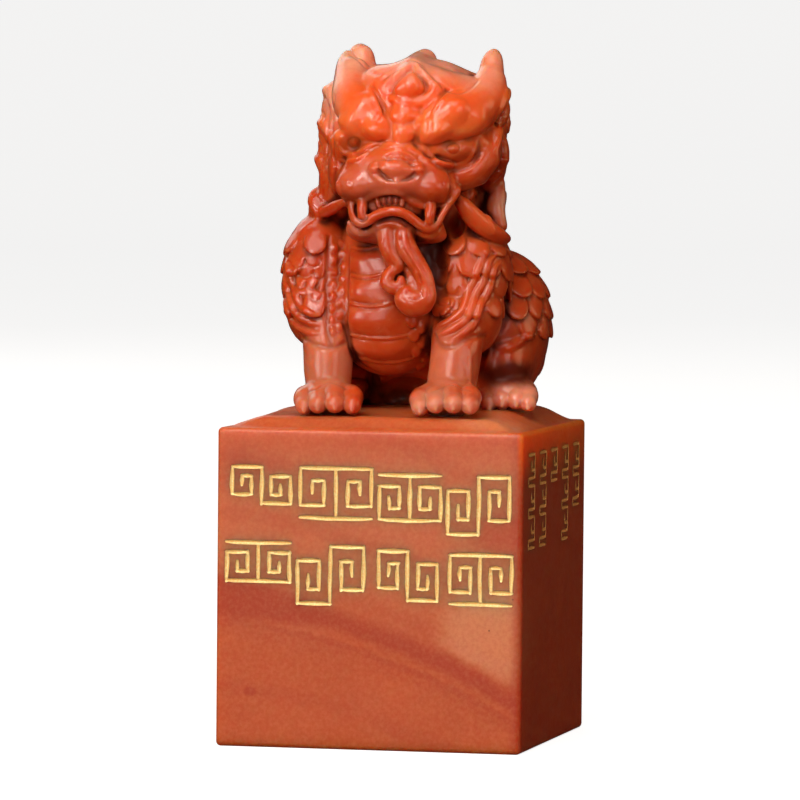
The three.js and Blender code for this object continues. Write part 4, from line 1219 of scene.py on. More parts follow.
def gilt_fill(name, rows, to3d, r):
    """Gold lying in a set of cuts: hollowed along the middle of each cut, rough, thin at its rim."""
    dist = lambda U, V: line_distance(rows, U, V) + 0.012
    lo = (rows[:, [0, 2]].min() - 0.6, rows[:, [1, 3]].min() - 0.6)
    hi = (rows[:, [0, 2]].max() + 0.6, rows[:, [1, 3]].max() + 0.6)
    step = 0.05
    loops = [thin_out(L, 0.12, 0.93) for L in contours(dist, lo, hi, step)]
    g = 0.1
    U, V = np.meshgrid(np.arange(lo[0], hi[0], g), np.arange(lo[1], hi[1], g), indexing="ij")
    U, V = U.ravel() + 0.2 * g * np.sin(V.ravel() * 40), V.ravel()
    d = dist(U, V)
    G = np.column_stack([U, V])[d < -0.055]
    v, tri, _ = triangulate(loops, G)
    c = v[tri].mean(1)
    tri = unpinched(tri[dist(c[:, 0], c[:, 1]) < 0])
    d = -dist(v[:, 0], v[:, 1])
    hollow = np.clip(d / (r * 0.8), 0, 1)
    top = -0.03 - 0.17 * hollow - 0.035 * (value_noise(v, 0.35, 71) * 0.7 + value_noise(v, 0.16, 72) * 0.5) * (0.3 + hollow)
    n = len(v)
    solid = Solid()
    solid.add(to3d(v[:, 0], v[:, 1], top), tri)
    solid.add(to3d(v[:, 0], v[:, 1], np.full(n, -0.46)), tri[:, ::-1])
    use = {}
    for t in tri:
        for a, b in ((t[0], t[1]), (t[1], t[2]), (t[2], t[0])):
            use.setdefault((min(a, b), max(a, b)), []).append((a, b))
    walls = [[rows2[0][1], rows2[0][0], rows2[0][0] + n, rows2[0][1] + n] for rows2 in use.values() if len(rows2) == 1]
    solid.add(np.vstack([to3d(v[:, 0], v[:, 1], top), to3d(v[:, 0], v[:, 1], np.full(n, -0.46))]), walls)
    p, f = solid.done()
    return make_object(name, p, f)


def smooth_by_angle(o, degrees):
    """Edges sharper than the angle are marked sharp; the rest shade smoothly."""
    me = o.data
    import bmesh

    bm = bmesh.new()
    bm.from_mesh(me)
    bmesh.ops.recalc_face_normals(bm, faces=bm.faces)
    lim = np.radians(degrees)
    for e in bm.edges:
        if len(e.link_faces) == 2:
            e.smooth = e.calc_face_angle(0.0) < lim
    bm.to_mesh(me)
    bm.free()
    me.update()


# ------------------------------------------------------------ the beast as a mesh
def beast_object():
    h = 0.15
    c = build(h)
    X, Y, Z = c.ax[0][:, None, None], c.ax[1][None, :, None], c.ax[2][None, None, :]
    g = ground(X.astype(np.float64), Y.astype(np.float64)).astype(np.float32)
    # uneven carving, then a soft foot that runs into the mound
    nx, ny, nz = c.n
    gd = (Z - g) * 0.97
    foot = gd + 0.07 + np.maximum(c.D - 0.3, 0) * 1.2
    c.D = smin(c.D, foot, 0.4)
    c.D = np.maximum(c.D, 31.0 - Z).astype(np.float32)
    untangled(c)
    pts, quads = c.mesh()
    pts, quads = largest_part(pts, quads)
    for _ in range(2):
        nrm = c.normal(pts, 0.5 * h)
        pts = pts - nrm * (c.sample(pts) * 0.9)[:, None]
    low = pts[:, 2] < 31.0 + h
    pts[low, 2] = np.maximum(pts[low, 2], 31.0)
    # hand-worked unevenness
    nrm = c.normal(pts, 0.35)
    lump = 0.035 * value_noise(pts, 1.7, 3) + 0.018 * value_noise(pts, 0.7, 4)
    pts = pts + nrm * (lump * (pts[:, 2] > 31.3))[:, None]
    # how deep in a recess, and how exposed, each point is
    crease = np.zeros(len(pts))
    for r, w in ((0.3, 0.25), (0.7, 0.3), (1.4, 0.25), (2.6, 0.2)):
        crease += w * np.clip(1 - c.sample(pts + nrm * r) / r, 0, 1.3)
    ridge = np.zeros(len(pts))
    for r, w in ((0.25, 0.4), (0.5, 0.6)):
        ridge += w * np.clip(1 + c.sample(pts - nrm * r) / r, 0, 1)
    line = np.clip(1 - c.sample(pts + nrm * 0.3) / 0.3, 0, 1)
    o = make_object("guardian_beast", pts, quads)
    me = o.data
    for name, val in (("crease", crease), ("ridge", ridge), ("line", line)):
        a = me.attributes.new(name, "FLOAT", "POINT")
        a.data.foreach_set("value", val.astype(np.float32))
    return o, c


def untangled(c):
    """Cells that touch only across a diagonal are filled, so that no two sheets of the surface share an edge."""
    D = c.D
    for _ in range(12):
        S = D < 0
        n = 0
        for a, b in ((0, 1), (0, 2), (1, 2)):
            lo = [slice(None)] * 3
            s = {}
            for i in (0, 1):
                for j in (0, 1):
                    q = list(lo)
                    q[a] = slice(i, D.shape[a] - 1 + i)
                    q[b] = slice(j, D.shape[b] - 1 + j)
                    s[i, j] = tuple(q)
            one = S[s[0, 0]] & S[s[1, 1]] & ~S[s[1, 0]] & ~S[s[0, 1]]
            two = S[s[1, 0]] & S[s[0, 1]] & ~S[s[0, 0]] & ~S[s[1, 1]]
            for hit_, where in ((one, s[1, 0]), (two, s[0, 0])):
                n += int(hit_.sum())
                D[where][hit_] = -0.01
        if not n:
            break


def largest_part(pts, quads):
    """Only the biggest connected piece of a mesh."""
    quads = np.asarray(quads)
    e = np.vstack([quads[:, [0, 1]], quads[:, [1, 2]], quads[:, [2, 3]]])
    lab = np.arange(len(pts))
    while True:
        m = np.minimum(lab[e[:, 0]], lab[e[:, 1]])
        new = lab.copy()
        np.minimum.at(new, e[:, 0], m)
        np.minimum.at(new, e[:, 1], m)
        new = new[new]
        new = new[new]
        if (new == lab).all():
            break
        lab = new
    ids, count = np.unique(lab, return_counts=True)
    keep = lab == ids[np.argmax(count)]
    place = np.cumsum(keep) - 1
    return pts[keep], place[quads[keep[quads[:, 0]]]]


def decimated(o, faces):
    """The object's mesh reduced to about this number of triangles."""
    tris = sum(len(p.vertices) - 2 for p in o.data.polygons)
    if tris <= faces:
        return
    mod = o.modifiers.new("reduce", "DECIMATE")
    mod.ratio = faces / tris
    mod.use_collapse_triangulate = True
    dg = bpy.context.evaluated_depsgraph_get()
    me = bpy.data.meshes.new_from_object(o.evaluated_get(dg), preserve_all_data_layers=True, depsgraph=dg)
    old = o.data
    o.modifiers.clear()
    o.data = me
    me.name = o.name
    bpy.data.meshes.remove(old)
    me.polygons.foreach_set("use_smooth", np.ones(len(me.polygons), bool))


# ------------------------------------------------------------ light levels, in watts; azimuth and elevation as for the camera
WORLD = 0.012
FLOOR_GLOW = 0.87
SOFT = (1.0, 0.97, 0.92)
LIGHTS = [
    ("key", -12, 33, 0.9, 0.3, 0.3, 2.45, SOFT),
    ("spark", -13, 43, 0.9, 0.09, 0.09, 0.45, SOFT),
    ("high", 2, 56, 0.9, 0.6, 0.6, 3.8, SOFT),
    ("side_left", -38, 12, 0.9, 0.28, 0.35, 2.5, SOFT),
    ("front", -6, 9, 0.9, 0.4, 0.4, 1.7, SOFT),
    ("right", 50, 16, 0.9, 0.4, 0.5, 1.35, SOFT),
    ("side_right", 97, 14, 0.9, 0.4, 0.4, 1.15, (1.0, 0.7, 0.4)),
    ("back", 218, 30, 0.9, 0.6, 0.5, 1.25, SOFT),
]


# ------------------------------------------------------------ materials
class Nodes:
    """Short words for wiring a material's nodes."""

    def __init__(self, name):
        self.m = bpy.data.materials.new(name)
        self.m.use_nodes = True
        self.t = self.m.node_tree
        self.t.nodes.clear()
        self.out = self.t.nodes.new("ShaderNodeOutputMaterial")
        self.bsdf = self.t.nodes.new("ShaderNodeBsdfPrincipled")
        self.t.links.new(self.bsdf.outputs[0], self.out.inputs["Surface"])
        c = self.t.nodes.new("ShaderNodeTexCoord")
        s = self.t.nodes.new("ShaderNodeVectorMath")
        s.operation = "SCALE"
        s.inputs["Scale"].default_value = 1000.0
        self.t.links.new(c.outputs["Object"], s.inputs[0])
        self.mm = s.outputs[0]
        x = self.t.nodes.new("ShaderNodeSeparateXYZ")
        self.t.links.new(self.mm, x.inputs[0])
        self.x, self.y, self.z = x.outputs

    def put(self, socket, value):
        if isinstance(value, bpy.types.NodeSocket):
            self.t.links.new(value, socket)
        else:
            socket.default_value = value

    def math(self, op, a, b=0.0, c=0.0, clamp=False):
        n = self.t.nodes.new("ShaderNodeMath")
        n.operation, n.use_clamp = op, clamp
        for s, v in zip(n.inputs, (a, b, c)):
            self.put(s, v)
        return n.outputs[0]

    def add(self, a, b):
        return self.math("ADD", a, b)

    def sub(self, a, b):
        return self.math("SUBTRACT", a, b)

    def mul(self, a, b):
        return self.math("MULTIPLY", a, b)

    def ramp(self, v, a, b, lo=0.0, hi=1.0, smooth=True):
        """v from a to b gives lo to hi, held outside."""
        n = self.t.nodes.new("ShaderNodeMapRange")
        n.interpolation_type = "SMOOTHSTEP" if smooth else "LINEAR"
        n.clamp = True
        self.put(n.inputs["Value"], v)
        for k, w in (("From Min", a), ("From Max", b), ("To Min", lo), ("To Max", hi)):
            n.inputs[k].default_value = w
        return n.outputs[0]

    def noise(self, scale, detail=3.0, rough=0.55, at=None, seed=0.0, distort=0.0):
        """Noise between 0 and 1; scale is in lumps per millimetre."""
        n = self.t.nodes.new("ShaderNodeTexNoise")
        n.noise_dimensions = "4D"
        self.put(n.inputs["Vector"], at or self.mm)
        n.inputs["W"].default_value = seed
        n.inputs["Scale"].default_value = scale
        n.inputs["Detail"].default_value = detail
        n.inputs["Roughness"].default_value = rough
        n.inputs["Distortion"].default_value = distort
        return n.outputs["Fac"]

    def cells(self, scale, seed=0.0):
        n = self.t.nodes.new("ShaderNodeTexVoronoi")
        n.voronoi_dimensions = "4D"
        self.put(n.inputs["Vector"], self.mm)
        n.inputs["W"].default_value = seed
        n.inputs["Scale"].default_value = scale
        return n.outputs["Distance"], n.outputs["Color"]

    def mix(self, f, a, b, kind="MIX"):
        n = self.t.nodes.new("ShaderNodeMix")
        n.data_type, n.blend_type = "RGBA", kind
        n.clamp_factor = True
        self.put(n.inputs["Factor"], f)
        for s, v in ((n.inputs[6], a), (n.inputs[7], b)):
            self.put(s, (*v, 1.0) if isinstance(v, tuple) and len(v) == 3 else v)
        return n.outputs[2]

    def stretched(self, sx, sy, sz):
        n = self.t.nodes.new("ShaderNodeVectorMath")
        n.operation = "MULTIPLY"
        self.t.links.new(self.mm, n.inputs[0])
        n.inputs[1].default_value = (sx, sy, sz)
        return n.outputs[0]

    def near(self, c, r, soft, wob=None):
        """1 inside an ellipsoid, 0 outside, with a soft and uneven rim."""
        n = self.t.nodes.new("ShaderNodeVectorMath")
        n.operation = "SUBTRACT"
        self.t.links.new(self.mm, n.inputs[0])
        n.inputs[1].default_value = c
        d = self.t.nodes.new("ShaderNodeVectorMath")
        d.operation = "DIVIDE"
        self.t.links.new(n.outputs[0], d.inputs[0])
        d.inputs[1].default_value = r
        l = self.t.nodes.new("ShaderNodeVectorMath")
        l.operation = "LENGTH"
        self.t.links.new(d.outputs[0], l.inputs[0])
        v = l.outputs["Value"]
        if wob is not None:
            v = self.add(v, wob)
        return self.ramp(v, 1 - soft, 1 + soft, 1.0, 0.0)

    def attr(self, name):
        n = self.t.nodes.new("ShaderNodeAttribute")
        n.attribute_name = name
        return n.outputs["Fac"]

    def bump(self, height, strength, distance, onto=None):
        n = self.t.nodes.new("ShaderNodeBump")
        n.inputs["Strength"].default_value = strength
        n.inputs["Distance"].default_value = distance
        self.put(n.inputs["Height"], height)
        if onto is not None:
            self.t.links.new(onto, n.inputs["Normal"])
        return n.outputs[0]

    def set(self, name, value):
        self.put(self.bsdf.inputs[name], value)


def lin(r, g, b):
    """Linear colour from the usual 0 to 255 values."""
    return tuple(((v / 255) / 12.92 if v / 255 <= 0.04045 else ((v / 255 + 0.055) / 1.055) ** 2.4) for v in (r, g, b))


def stone_finish(n, weight, radius, scale, rough, coat, gloss=0.5, coat_rough=0.16):
    n.set("Specular IOR Level", gloss)
    n.set("Subsurface Weight", weight)
    n.set("Subsurface Radius", radius)
    n.set("Subsurface Scale", scale)
    n.set("Roughness", rough)
    n.set("IOR", 1.52)
    n.set("Coat Weight", coat)
    n.set("Coat Roughness", coat_rough)
    n.set("Coat IOR", 1.45)


def block_stone():
    n = Nodes("block_soapstone")
    w1 = n.noise(0.16, 3, 0.55, seed=1.3)
    w2 = n.noise(0.55, 4, 0.6, seed=4.1)
    base = n.mix(n.ramp(w1, 0.3, 0.7), BLOCK_A, BLOCK_B)
    base = n.mix(n.ramp(w2, 0.35, 0.75, 0, 0.35), base, BLOCK_C)
    # dusky pink cloud in the upper half, clear orange below
    up = n.ramp(n.add(n.z, n.mul(n.sub(w1, 0.5), 7.0)), 9.0, 16.5)
    up = n.mul(up, n.ramp(n.z, 27.2, 30.0, 0.72, 0.2))
    base = n.mix(up, base, BLOCK_DUSK)
    # veins: curved sheets that fall from left to right, drawn with uneven edges
    xs = n.add(n.x, 15.0)
    fall = n.add(n.mul(xs, 0.055), n.mul(n.mul(xs, xs), 0.0087))
    wav = n.add(n.mul(n.sub(n.noise(0.12, 2, 0.5, seed=7.0), 0.5), 1.6), n.mul(n.sub(n.noise(0.6, 3, 0.6, seed=8.0), 0.5), 0.9))
    s = n.add(n.add(n.z, fall), n.add(wav, n.mul(n.add(n.y, 15.0), 0.22)))
    left = n.ramp(n.x, -3.0, -13.0)
    band = n.mul(n.ramp(n.add(s, n.mul(left, 0.8)), 12.7, 13.9), n.ramp(n.sub(s, n.mul(left, 1.4)), 14.2, 16.2, 1.0, 0.0))
    base = n.mix(n.mul(band, 0.92), base, BLOCK_VEIN)
    streak = n.noise(1.0, 3, 0.6, at=None, seed=2.2)
    sheet = n.math("SINE", n.add(n.mul(s, 2.6), n.mul(streak, 3.0)))
    below = n.mul(n.ramp(s, 9.6, 11.6), n.ramp(s, 12.8, 13.8, 1.0, 0.0))
    base = n.mix(n.mul(n.mul(n.ramp(sheet, 0.2, 0.95), below), 0.4), base, BLOCK_VEIN)
    far = n.mul(n.ramp(n.math("SINE", n.add(n.mul(s, 1.15), n.mul(streak, 2.0))), 0.3, 1.0), 0.22)
    base = n.mix(far, base, BLOCK_VEIN)
    # a paler, milky patch above the vein by the front right edge
    wob = n.mul(n.sub(n.noise(0.5, 3, 0.6, seed=3.0), 0.5), 0.7)
    pale = n.mul(n.near((12.3, -15.5, 11.2), (5.2, 6.0, 4.4), 0.4, wob), n.ramp(s, 14.8, 16.4))
    base = n.mix(n.mul(pale, 0.6), base, BLOCK_PALE)
    pale2 = n.near((13.0, -13.0, 31.9), (5.0, 3.5, 1.5), 0.5, wob)
    base = n.mix(n.mul(pale2, 0.5), base, BLOCK_PALE)
    for c, r, f in BLOCK_DARK:
        base = n.mix(n.mul(n.near(c, r, 0.6, wob), f), base, BLOCK_VEIN)
    # small red spots, dark grains and pale grains
    spot = n.near((-11.6, -15.0, 5.35), (0.55, 1.2, 0.4), 0.4, wob)
    base = n.mix(n.mul(spot, 0.8), base, BLOCK_VEIN)
    d, c = n.cells(0.42, 1.0)
    pick = n.t.nodes.new("ShaderNodeSeparateColor")
    n.t.links.new(c, pick.inputs[0])
    grain = n.mul(n.ramp(d, 0.028, 0.05, 1.0, 0.0), n.ramp(pick.outputs[0], 0.80, 0.82))
    base = n.mix(n.mul(grain, 0.75), base, (0.05, 0.015, 0.008))
    light = n.mul(n.ramp(d, 0.02, 0.04, 1.0, 0.0), n.ramp(pick.outputs[1], 0.88, 0.9))
    base = n.mix(n.mul(light, 0.6), base, (0.85, 0.6, 0.45))
    # painted shade: the right side face, and a narrow band of the front and top beside it, is coloured a darker red
    right = n.ramp(n.x, 13.6, 14.95)
    base = n.mix(n.mul(right, 0.8), base, BLOCK_SHADE_RED)
    # painted glow: clear orange along the upper edge of the right side face; the same mask also widens the subsurface
    # scale there
    painted_glow = n.mul(n.ramp(n.x, 14.3, 14.9), n.ramp(n.add(n.z, n.mul(n.sub(w2, 0.5), 0.8)), 25.0, 29.8))
    base = n.mix(n.mul(painted_glow, 0.95), base, BLOCK_PAINTED_GLOW)
    # fine cloudiness of the mineral
    fine = n.noise(2.4, 5, 0.65, seed=5.5)
    base = n.mix(n.ramp(fine, 0.35, 0.75, 0.0, 0.16), base, BLOCK_PALE)
    base = n.mix(n.ramp(fine, 0.62, 0.3, 0.0, 0.2), base, BLOCK_VEIN)
    n.set("Base Color", base)
    rub = n.noise(0.3, 4, 0.6, seed=6.0)
    stone_finish(n, 1.0, (1.0, 0.28, 0.1), n.add(0.0036, n.mul(painted_glow, 0.009)), n.ramp(rub, 0.25, 0.8, 0.3, 0.42), 0.08, 0.3)
    hair = n.noise(6.0, 4, 0.6, at=n.stretched(1, 1, 0.12), seed=2.0)
    b = n.bump(n.add(n.mul(n.noise(1.1, 4, 0.6, seed=9.0), 0.6), n.mul(hair, 0.12)), 0.35, 0.00006)
    n.set("Normal", b)
    return n.m


def beast_stone():
    n = Nodes("beast_soapstone")
    w1 = n.noise(0.2, 3, 0.55, seed=2.3, distort=0.4)
    w2 = n.noise(0.7, 4, 0.6, seed=4.4)
    base = n.mix(n.ramp(w1, 0.32, 0.7), BEAST_A, BEAST_B)
    base = n.mix(n.ramp(w2, 0.4, 0.75, 0.0, 0.35), base, BEAST_C)
    wob = n.mul(n.sub(n.noise(0.6, 3, 0.6, seed=3.0), 0.5), 0.7)
    # painted top light: the upper head is coloured brighter and more orange than the body below it
    head = n.ramp(n.add(n.z, n.mul(n.y, -0.25)), 57.0, 62.5)
    base = n.mix(head, base, n.mix(n.ramp(w1, 0.32, 0.7), HEAD_LIT_A, HEAD_LIT_B))
    # painted glow: clear orange patches on the brows, the right whisker and the right shoulder
    for c, r, f in BEAST_PAINTED_GLOW:
        base = n.mix(n.mul(n.near(c, r, 0.5, wob), f), base, GLOW_PAINT_ORANGE)
    # paler pink: pale stone on one flank of the mane, a hind paw and the foot of the mound; painted light on the horn
    # tips, the leaves behind them and the crown; painted sheen on a front paw; painted highlights on the chin and the
    # muzzle
    for c, r, f in BEAST_PALE_AND_PAINTED_LIGHT:
        base = n.mix(n.mul(n.near(c, r, 0.45, wob), f), base, PALE_PINK_AND_PAINTED_LIGHT)
    satin = n.mul(n.near((-0.6, -8.6, 42.0), (4.2, 4.0, 7.5), 0.3), 0.6)
    # painted sheen: forelegs and front paws coloured paler and pinker, with a softer coat
    for c, r, f in BEAST_PAINTED_SHEEN:
        m = n.near(c, r, 0.45, wob)
        base = n.mix(n.mul(m, f), base, PAINTED_SHEEN)
        satin = n.math("MAXIMUM", satin, m)
    fine = n.noise(2.6, 5, 0.65, seed=5.1)
    base = n.mix(n.ramp(fine, 0.4, 0.8, 0.0, 0.18), base, BEAST_C)
    # milky clouds inside the stone
    milk = n.noise(0.42, 4, 0.6, seed=11.0, distort=0.6)
    base = n.mix(n.ramp(milk, 0.52, 0.72, 0.0, 0.42), base, MILKY)
    # painted shade: darker in the narrow cut lines, less so on the head, and in recesses by how enclosed they are;
    # high edges are rubbed lighter
    crease, ridge, line = n.attr("crease"), n.attr("ridge"), n.attr("line")
    base = n.mix(n.mul(n.ramp(line, 0.15, 0.65, 0.0, 0.5), n.sub(1.0, n.mul(head, 0.5))), base, PAINTED_SHADE_BROWN)
    base = n.mix(n.ramp(crease, CREASE[0], CREASE[1], 0.0, CREASE[2]), base, PAINTED_SHADE_BROWN)
    base = n.mix(n.ramp(ridge, 0.5, 0.95, 0.0, 0.2), base, BEAST_RIM)
    dull = None
    # painted shade: dark patches in the mouth, on the eyes under the brows, in the chest hollow and round the hind
    # shin; the coat is dulled there
    for c, r, f in BEAST_PAINTED_SHADE:
        m = n.mul(n.near(c, r, 0.5, wob), f)
        base = n.mix(m, base, PAINTED_SHADE_BROWN)
        dull = m if dull is None else n.math("MAXIMUM", dull, m)
    # painted shadow: near-black in the hollow under the belly
    c, r, f = CAVE_PAINTED_SHADOW
    m = n.mul(n.near(c, r, 0.4, wob), f)
    base = n.mix(m, base, PAINTED_SHADOW_BLACK)
    shine = n.sub(1.0, n.math("MAXIMUM", dull, m))
    n.set("Base Color", base)
    rough = n.ramp(n.noise(0.5, 4, 0.6, seed=6.0), 0.25, 0.8, 0.3, 0.44)
    stone_finish(n, 1.0, (1.0, 0.26, 0.09), 0.0024, n.add(rough, n.ramp(crease, 0.3, 0.9, 0.0, 0.2)), n.mul(n.mul(shine, n.sub(1.0, n.mul(satin, 0.45))), n.ramp(crease, 0.12, 0.5, 0.85, 0.03)), 0.13, 0.165)
    b = n.bump(n.add(n.mul(n.noise(1.6, 4, 0.6, seed=9.0), 0.9), n.mul(n.noise(7.0, 3, 0.6, seed=1.0), 0.16)), 0.5, 0.00008)
    n.set("Normal", b)
    return n.m


def gold(name, base, dark, rough, bits):
    n = Nodes(name)
    g = n.noise(5.0, 4, 0.7, seed=1.0)
    f = n.noise(1.3, 3, 0.6, seed=2.0)
    col = n.mix(n.ramp(g, 0.35, 0.7), dark, base)
    col = n.mix(n.ramp(f, 0.6, 0.78, 0.0, bits), col, (0.3, 0.09, 0.03))
    n.set("Base Color", col)
    n.set("Metallic", n.ramp(f, 0.62, 0.8, 0.3, 0.1))
    n.set("Roughness", n.ramp(g, 0.3, 0.75, rough, rough + 0.2))
    n.set("Normal", n.bump(n.add(g, n.noise(14.0, 3, 0.6, seed=3.0)), 0.7, 0.00005))
    return n.m


BLOCK_A = lin(198, 85, 35)
BLOCK_B = lin(191, 82, 36)
BLOCK_C = lin(203, 98, 49)
BLOCK_DUSK = lin(209, 112, 69)
BLOCK_VEIN = lin(175, 56, 16)
BLOCK_PALE = lin(226, 150, 104)
# painted shade of the right side face
BLOCK_SHADE_RED = lin(168, 50, 15)
# painted glow along the upper edge of the right side face
BLOCK_PAINTED_GLOW = lin(255, 98, 25)
BEAST_A = lin(186, 63, 21)
BEAST_B = lin(195, 70, 24)
BEAST_C = lin(206, 88, 40)
BEAST_RIM = lin(228, 116, 66)
# head colours: painted top light
HEAD_LIT_A = lin(234, 92, 38)
HEAD_LIT_B = lin(243, 104, 44)
# pale pink stone, also used for painted light, sheen and highlights
PALE_PINK_AND_PAINTED_LIGHT = lin(240, 158, 128)
# painted glow of thin parts
GLOW_PAINT_ORANGE = lin(255, 114, 54)
# painted sheen on the forelegs and front paws
PAINTED_SHEEN = lin(197, 123, 92)
# painted shade in cut lines, recesses and shaded patches
PAINTED_SHADE_BROWN = lin(84, 18, 6)
# painted shadow under the belly
PAINTED_SHADOW_BLACK = lin(26, 5, 3)
MILKY = lin(218, 116, 76)
BLOCK_DARK = [
    ((13.4, -15.0, 21.4), (2.8, 3.0, 1.9), 0.6),
    ((-13.2, -15.0, 26.6), (2.0, 3.0, 2.4), 0.4),
    ((-10.5, -15.0, 27.2), (2.4, 3.0, 1.6), 0.3),
]
# painted shadow in the hollow under the belly
CAVE_PAINTED_SHADOW = ((-0.6, -3.0, 32.9), (5.2, 8.0, 1.7), 0.97)
# ramp of the painted shade in recesses: start, end, strength
CREASE = (0.3, 0.82, 0.92)
BEAST_PALE_AND_PAINTED_LIGHT = [
    # painted light: horns, the leaf behind the left horn, crown
    ((-6.4, -4.0, 65.2), (3.0, 6.0, 5.0), 0.85),
    ((-5.6, -1.5, 67.3), (2.2, 3.5, 2.6), 0.8),
    ((8.4, -3.0, 66.0), (2.2, 6.0, 3.6), 0.65),
    ((2.2, -4.0, 66.6), (6.2, 6.0, 3.2), 0.85),
    # pale stone: a flank of the mane, the hind paw
    ((9.6, 1.6, 52.0), (1.8, 3.6, 1.9), 0.8),
    ((11.5, -1.5, 33.2), (3.2, 3.5, 2.2), 0.72),
    # painted sheen: right front paw
    ((6.2, -12.8, 32.4), (3.6, 3.2, 1.8), 0.85),
    # painted highlights: chin, muzzle
    ((-2.0, -10.3, 49.8), (2.0, 1.6, 1.0), 0.25),
    ((-0.2, -11.4, 54.6), (4.6, 1.6, 1.8), 0.2),
    # pale stone: foot of the mound
    ((8.0, -12.0, 31.2), (7.0, 4.0, 0.9), 0.35),
]
# painted sheen: forelegs and front paws
BEAST_PAINTED_SHEEN = [
    ((-6.0, -9.0, 36.3), (3.2, 4.0, 3.6), 0.6),
    ((6.0, -9.2, 36.3), (2.6, 4.0, 3.6), 0.5),
    ((-6.3, -12.5, 32.6), (3.8, 3.0, 1.9), 0.6),
    ((6.2, -12.8, 32.6), (3.8, 3.0, 1.9), 0.75),
]
# painted glow: right whisker, right brow, left brow, right shoulder
BEAST_PAINTED_GLOW = [
    ((8.2, -8.0, 51.0), (2.6, 6.0, 2.6), 0.35),
    ((5.4, -9.0, 59.4), (4.4, 3.6, 2.1), 0.9),
    ((-4.4, -9.4, 60.1), (3.2, 3.6, 1.8), 0.6),
    ((6.4, -8.2, 45.0), (3.2, 3.4, 4.2), 0.3),
]
# painted shade: mouth, hind shin, chest hollow, right eye, left eye
BEAST_PAINTED_SHADE = [
    ((-0.4, -10.4, 52.8), (4.8, 0.6, 1.0), 0.4),
    ((11.0, -1.2, 35.8), (3.5, 3.5, 1.2), 0.95),
    ((4.2, -6.2, 46.4), (1.5, 3.0, 3.2), 0.95),
    ((6.9, -8.0, 57.7), (2.0, 1.6, 1.0), 0.42),
    ((-3.2, -9.0, 58.1), (1.6, 1.4, 1.0), 0.42),
]

STONE_BLOCK, STONE_BEAST = block_stone(), beast_stone()
GOLD = gold("laid_gold", (1.0, 0.82, 0.38), (0.98, 0.58, 0.2), 0.3, 0.4)
# painted shade: the side face's gilding is a darker, more orange and rougher copy of the front gold
SHADED_SIDE_GOLD = gold("shaded_side_gold", (1.0, 0.62, 0.24), (0.85, 0.38, 0.1), 0.4, 0.6)

# ------------------------------------------------------------ pieces on the frame
beast, clay = beast_object()


def field(p):
    k = p[:, 2] > 31.3
    return clay.sample(p) - (0.06 * value_noise(p, 1.7, 3) + 0.024 * value_noise(p, 0.7, 4)) * k


decimated(beast, 188000)
n_pts = len(beast.data.vertices)
co = np.empty(n_pts * 3, np.float32)
beast.data.vertices.foreach_get("co", co)
co = co.reshape(-1, 3).astype(float) / MM
eps = 0.09
nrm = np.column_stack([field(co + eps * np.eye(3)[i]) - field(co - eps * np.eye(3)[i]) for i in range(3)])
nrm /= np.linalg.norm(nrm, axis=1, keepdims=True) + 1e-9
flat = co[:, 2] < 31.05
nrm[flat] = (0, 0, -1)
beast.data.normals_split_custom_set_from_vertices(nrm.tolist())
beast.data.materials.append(STONE_BEAST)
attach(beast, "root")
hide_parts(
    *[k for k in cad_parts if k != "seal_block" and not k.startswith("gilt_")],
)

pts, faces = block_points()
block = make_object("stone_block", pts, faces)
smooth_by_angle(block, 32)
block.data.materials.append(STONE_BLOCK)
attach(block, "root")
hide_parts("seal_block")


def front_at(u, v, out):
    fade = np.clip((np.minimum(v - ARRIS, TOP - ARRIS - v)) / 1.5, 0, 1)
    return np.column_stack([u, -HALF - out - face_swell(u, v, 1) * fade, v])


def side_at(u, v, out):
    fade = np.clip((np.minimum(v - ARRIS, TOP - ARRIS - v)) / 1.5, 0, 1)
    return np.column_stack([HALF + out + face_swell(u, v, 2) * fade, u, v])


for i, rows in enumerate(FRONT_CUTS):
    o = gilt_fill("front_gold_%d" % (i + 1), rows, front_at, 0.21)
    smooth_by_angle(o, 50)
    o.data.materials.append(GOLD)
    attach(o, "root")
    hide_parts("gilt_front_%d" % (i + 1))
for i, rows in enumerate(SIDE_CUTS):
    o = gilt_fill("side_gold_%d" % (i + 1), rows, side_at, 0.17)
    smooth_by_angle(o, 50)
    # painted shade: the darker copy of the gold
    o.data.materials.append(SHADED_SIDE_GOLD)
    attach(o, "root")
    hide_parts("gilt_side_%d" % (i + 1))

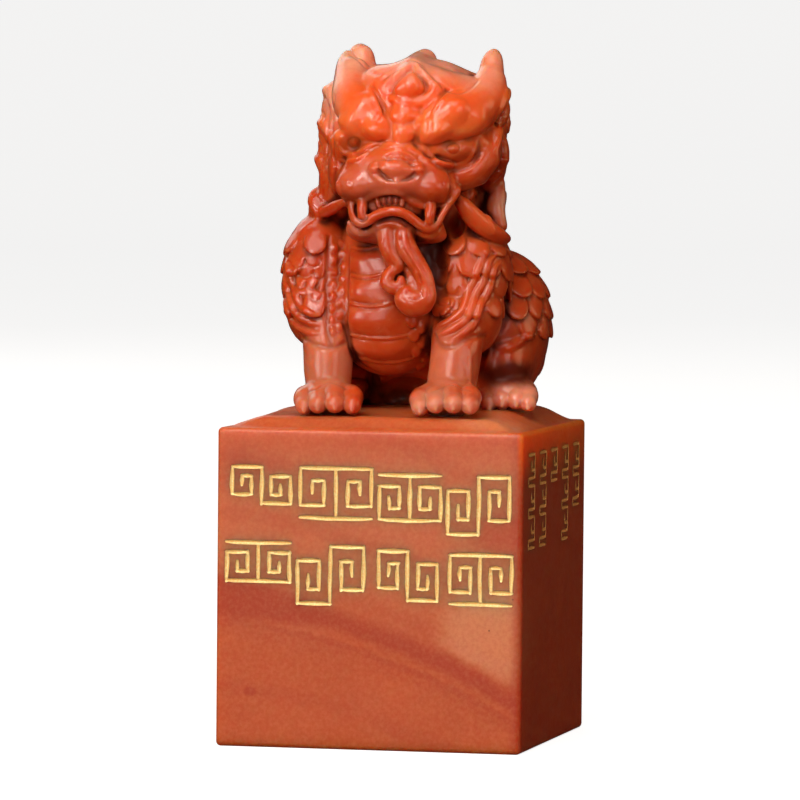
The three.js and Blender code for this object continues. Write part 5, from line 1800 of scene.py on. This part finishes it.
# ------------------------------------------------------------ studio
RING = 96
prof = [(0.0, 0.0), (0.2, 0.0), (0.6, 0.0), (1.2, 0.0), (2.0, 0.0)]
prof += [(2.0 + 1.5 * np.sin(t), 1.5 - 1.5 * np.cos(t)) for t in np.linspace(0.1, np.pi / 2, 14)] + [(3.5, 2.2), (3.5, 3.2)]
pts = [(0.0, 0.0, 0.0)]
for r, z in prof[1:]:
    pts += [(r * np.cos(2 * np.pi * i / RING), r * np.sin(2 * np.pi * i / RING), z) for i in range(RING)]
faces = [[0, 1 + i, 1 + (i + 1) % RING] for i in range(RING)]
for k in range(len(prof) - 2):
    a, b = 1 + k * RING, 1 + (k + 1) * RING
    faces += [[a + i, b + i, b + (i + 1) % RING, a + (i + 1) % RING] for i in range(RING)]
floor = make_object("studio_floor", np.array(pts) / MM, faces)
n = Nodes("pale_floor")
n.set("Base Color", n.mix(n.ramp(n.noise(0.004, 3, 0.5, seed=1.0), 0.3, 0.7), (0.44, 0.437, 0.433), (0.48, 0.477, 0.473)))
n.set("Roughness", 0.75)
n.set("Emission Color", (1.0, 0.995, 0.99, 1.0))
n.set("Emission Strength", FLOOR_GLOW)
floor.data.materials.append(n.m)
floor.visible_diffuse = False
floor.visible_glossy = False

world = bpy.data.worlds.new("studio")
bpy.context.scene.world = world
world.use_nodes = True
bg = world.node_tree.nodes["Background"]
bg.inputs["Color"].default_value = (1.0, 0.97, 0.94, 1.0)
bg.inputs["Strength"].default_value = WORLD


def soft_light(name, az, el, dist, w, h, power, colour, aim=(0, 0, 0.04), spread=180):
    a, e = np.radians([az, el])
    back = Vector((np.sin(a) * np.cos(e), -np.cos(a) * np.cos(e), np.sin(e)))
    L = bpy.data.lights.new(name, "AREA")
    L.shape, L.size, L.size_y, L.energy, L.color = "RECTANGLE", w, h, power, colour
    L.spread = np.radians(spread)
    o = bpy.data.objects.new(name, L)
    o.location = Vector(aim) + back * dist
    o.rotation_mode = "QUATERNION"
    o.rotation_quaternion = (-back).to_track_quat("-Z", "Y")
    bpy.context.scene.collection.objects.link(o)
    return o


for row in LIGHTS:
    soft_light(*row)

cam = bpy.data.cameras.new("camera")
cam_o = bpy.data.objects.new("camera", cam)
bpy.context.scene.collection.objects.link(cam_o)
cam.sensor_fit, cam.sensor_width = "HORIZONTAL", 36.0
cam.lens = FOC * 36.0 / 800.0
cam.clip_start, cam.clip_end = 0.01, 50
m = Matrix.Identity(4)
for i, v in enumerate((RT, UP, BACK)):
    for j in range(3):
        m[j][i] = v[j]
m.translation = Vector((CAM * MM).tolist())
cam_o.matrix_world = m
bpy.context.scene.camera = cam_o
bpy.context.scene.view_settings.view_transform = "Standard"
bpy.context.scene.view_settings.look = "None"
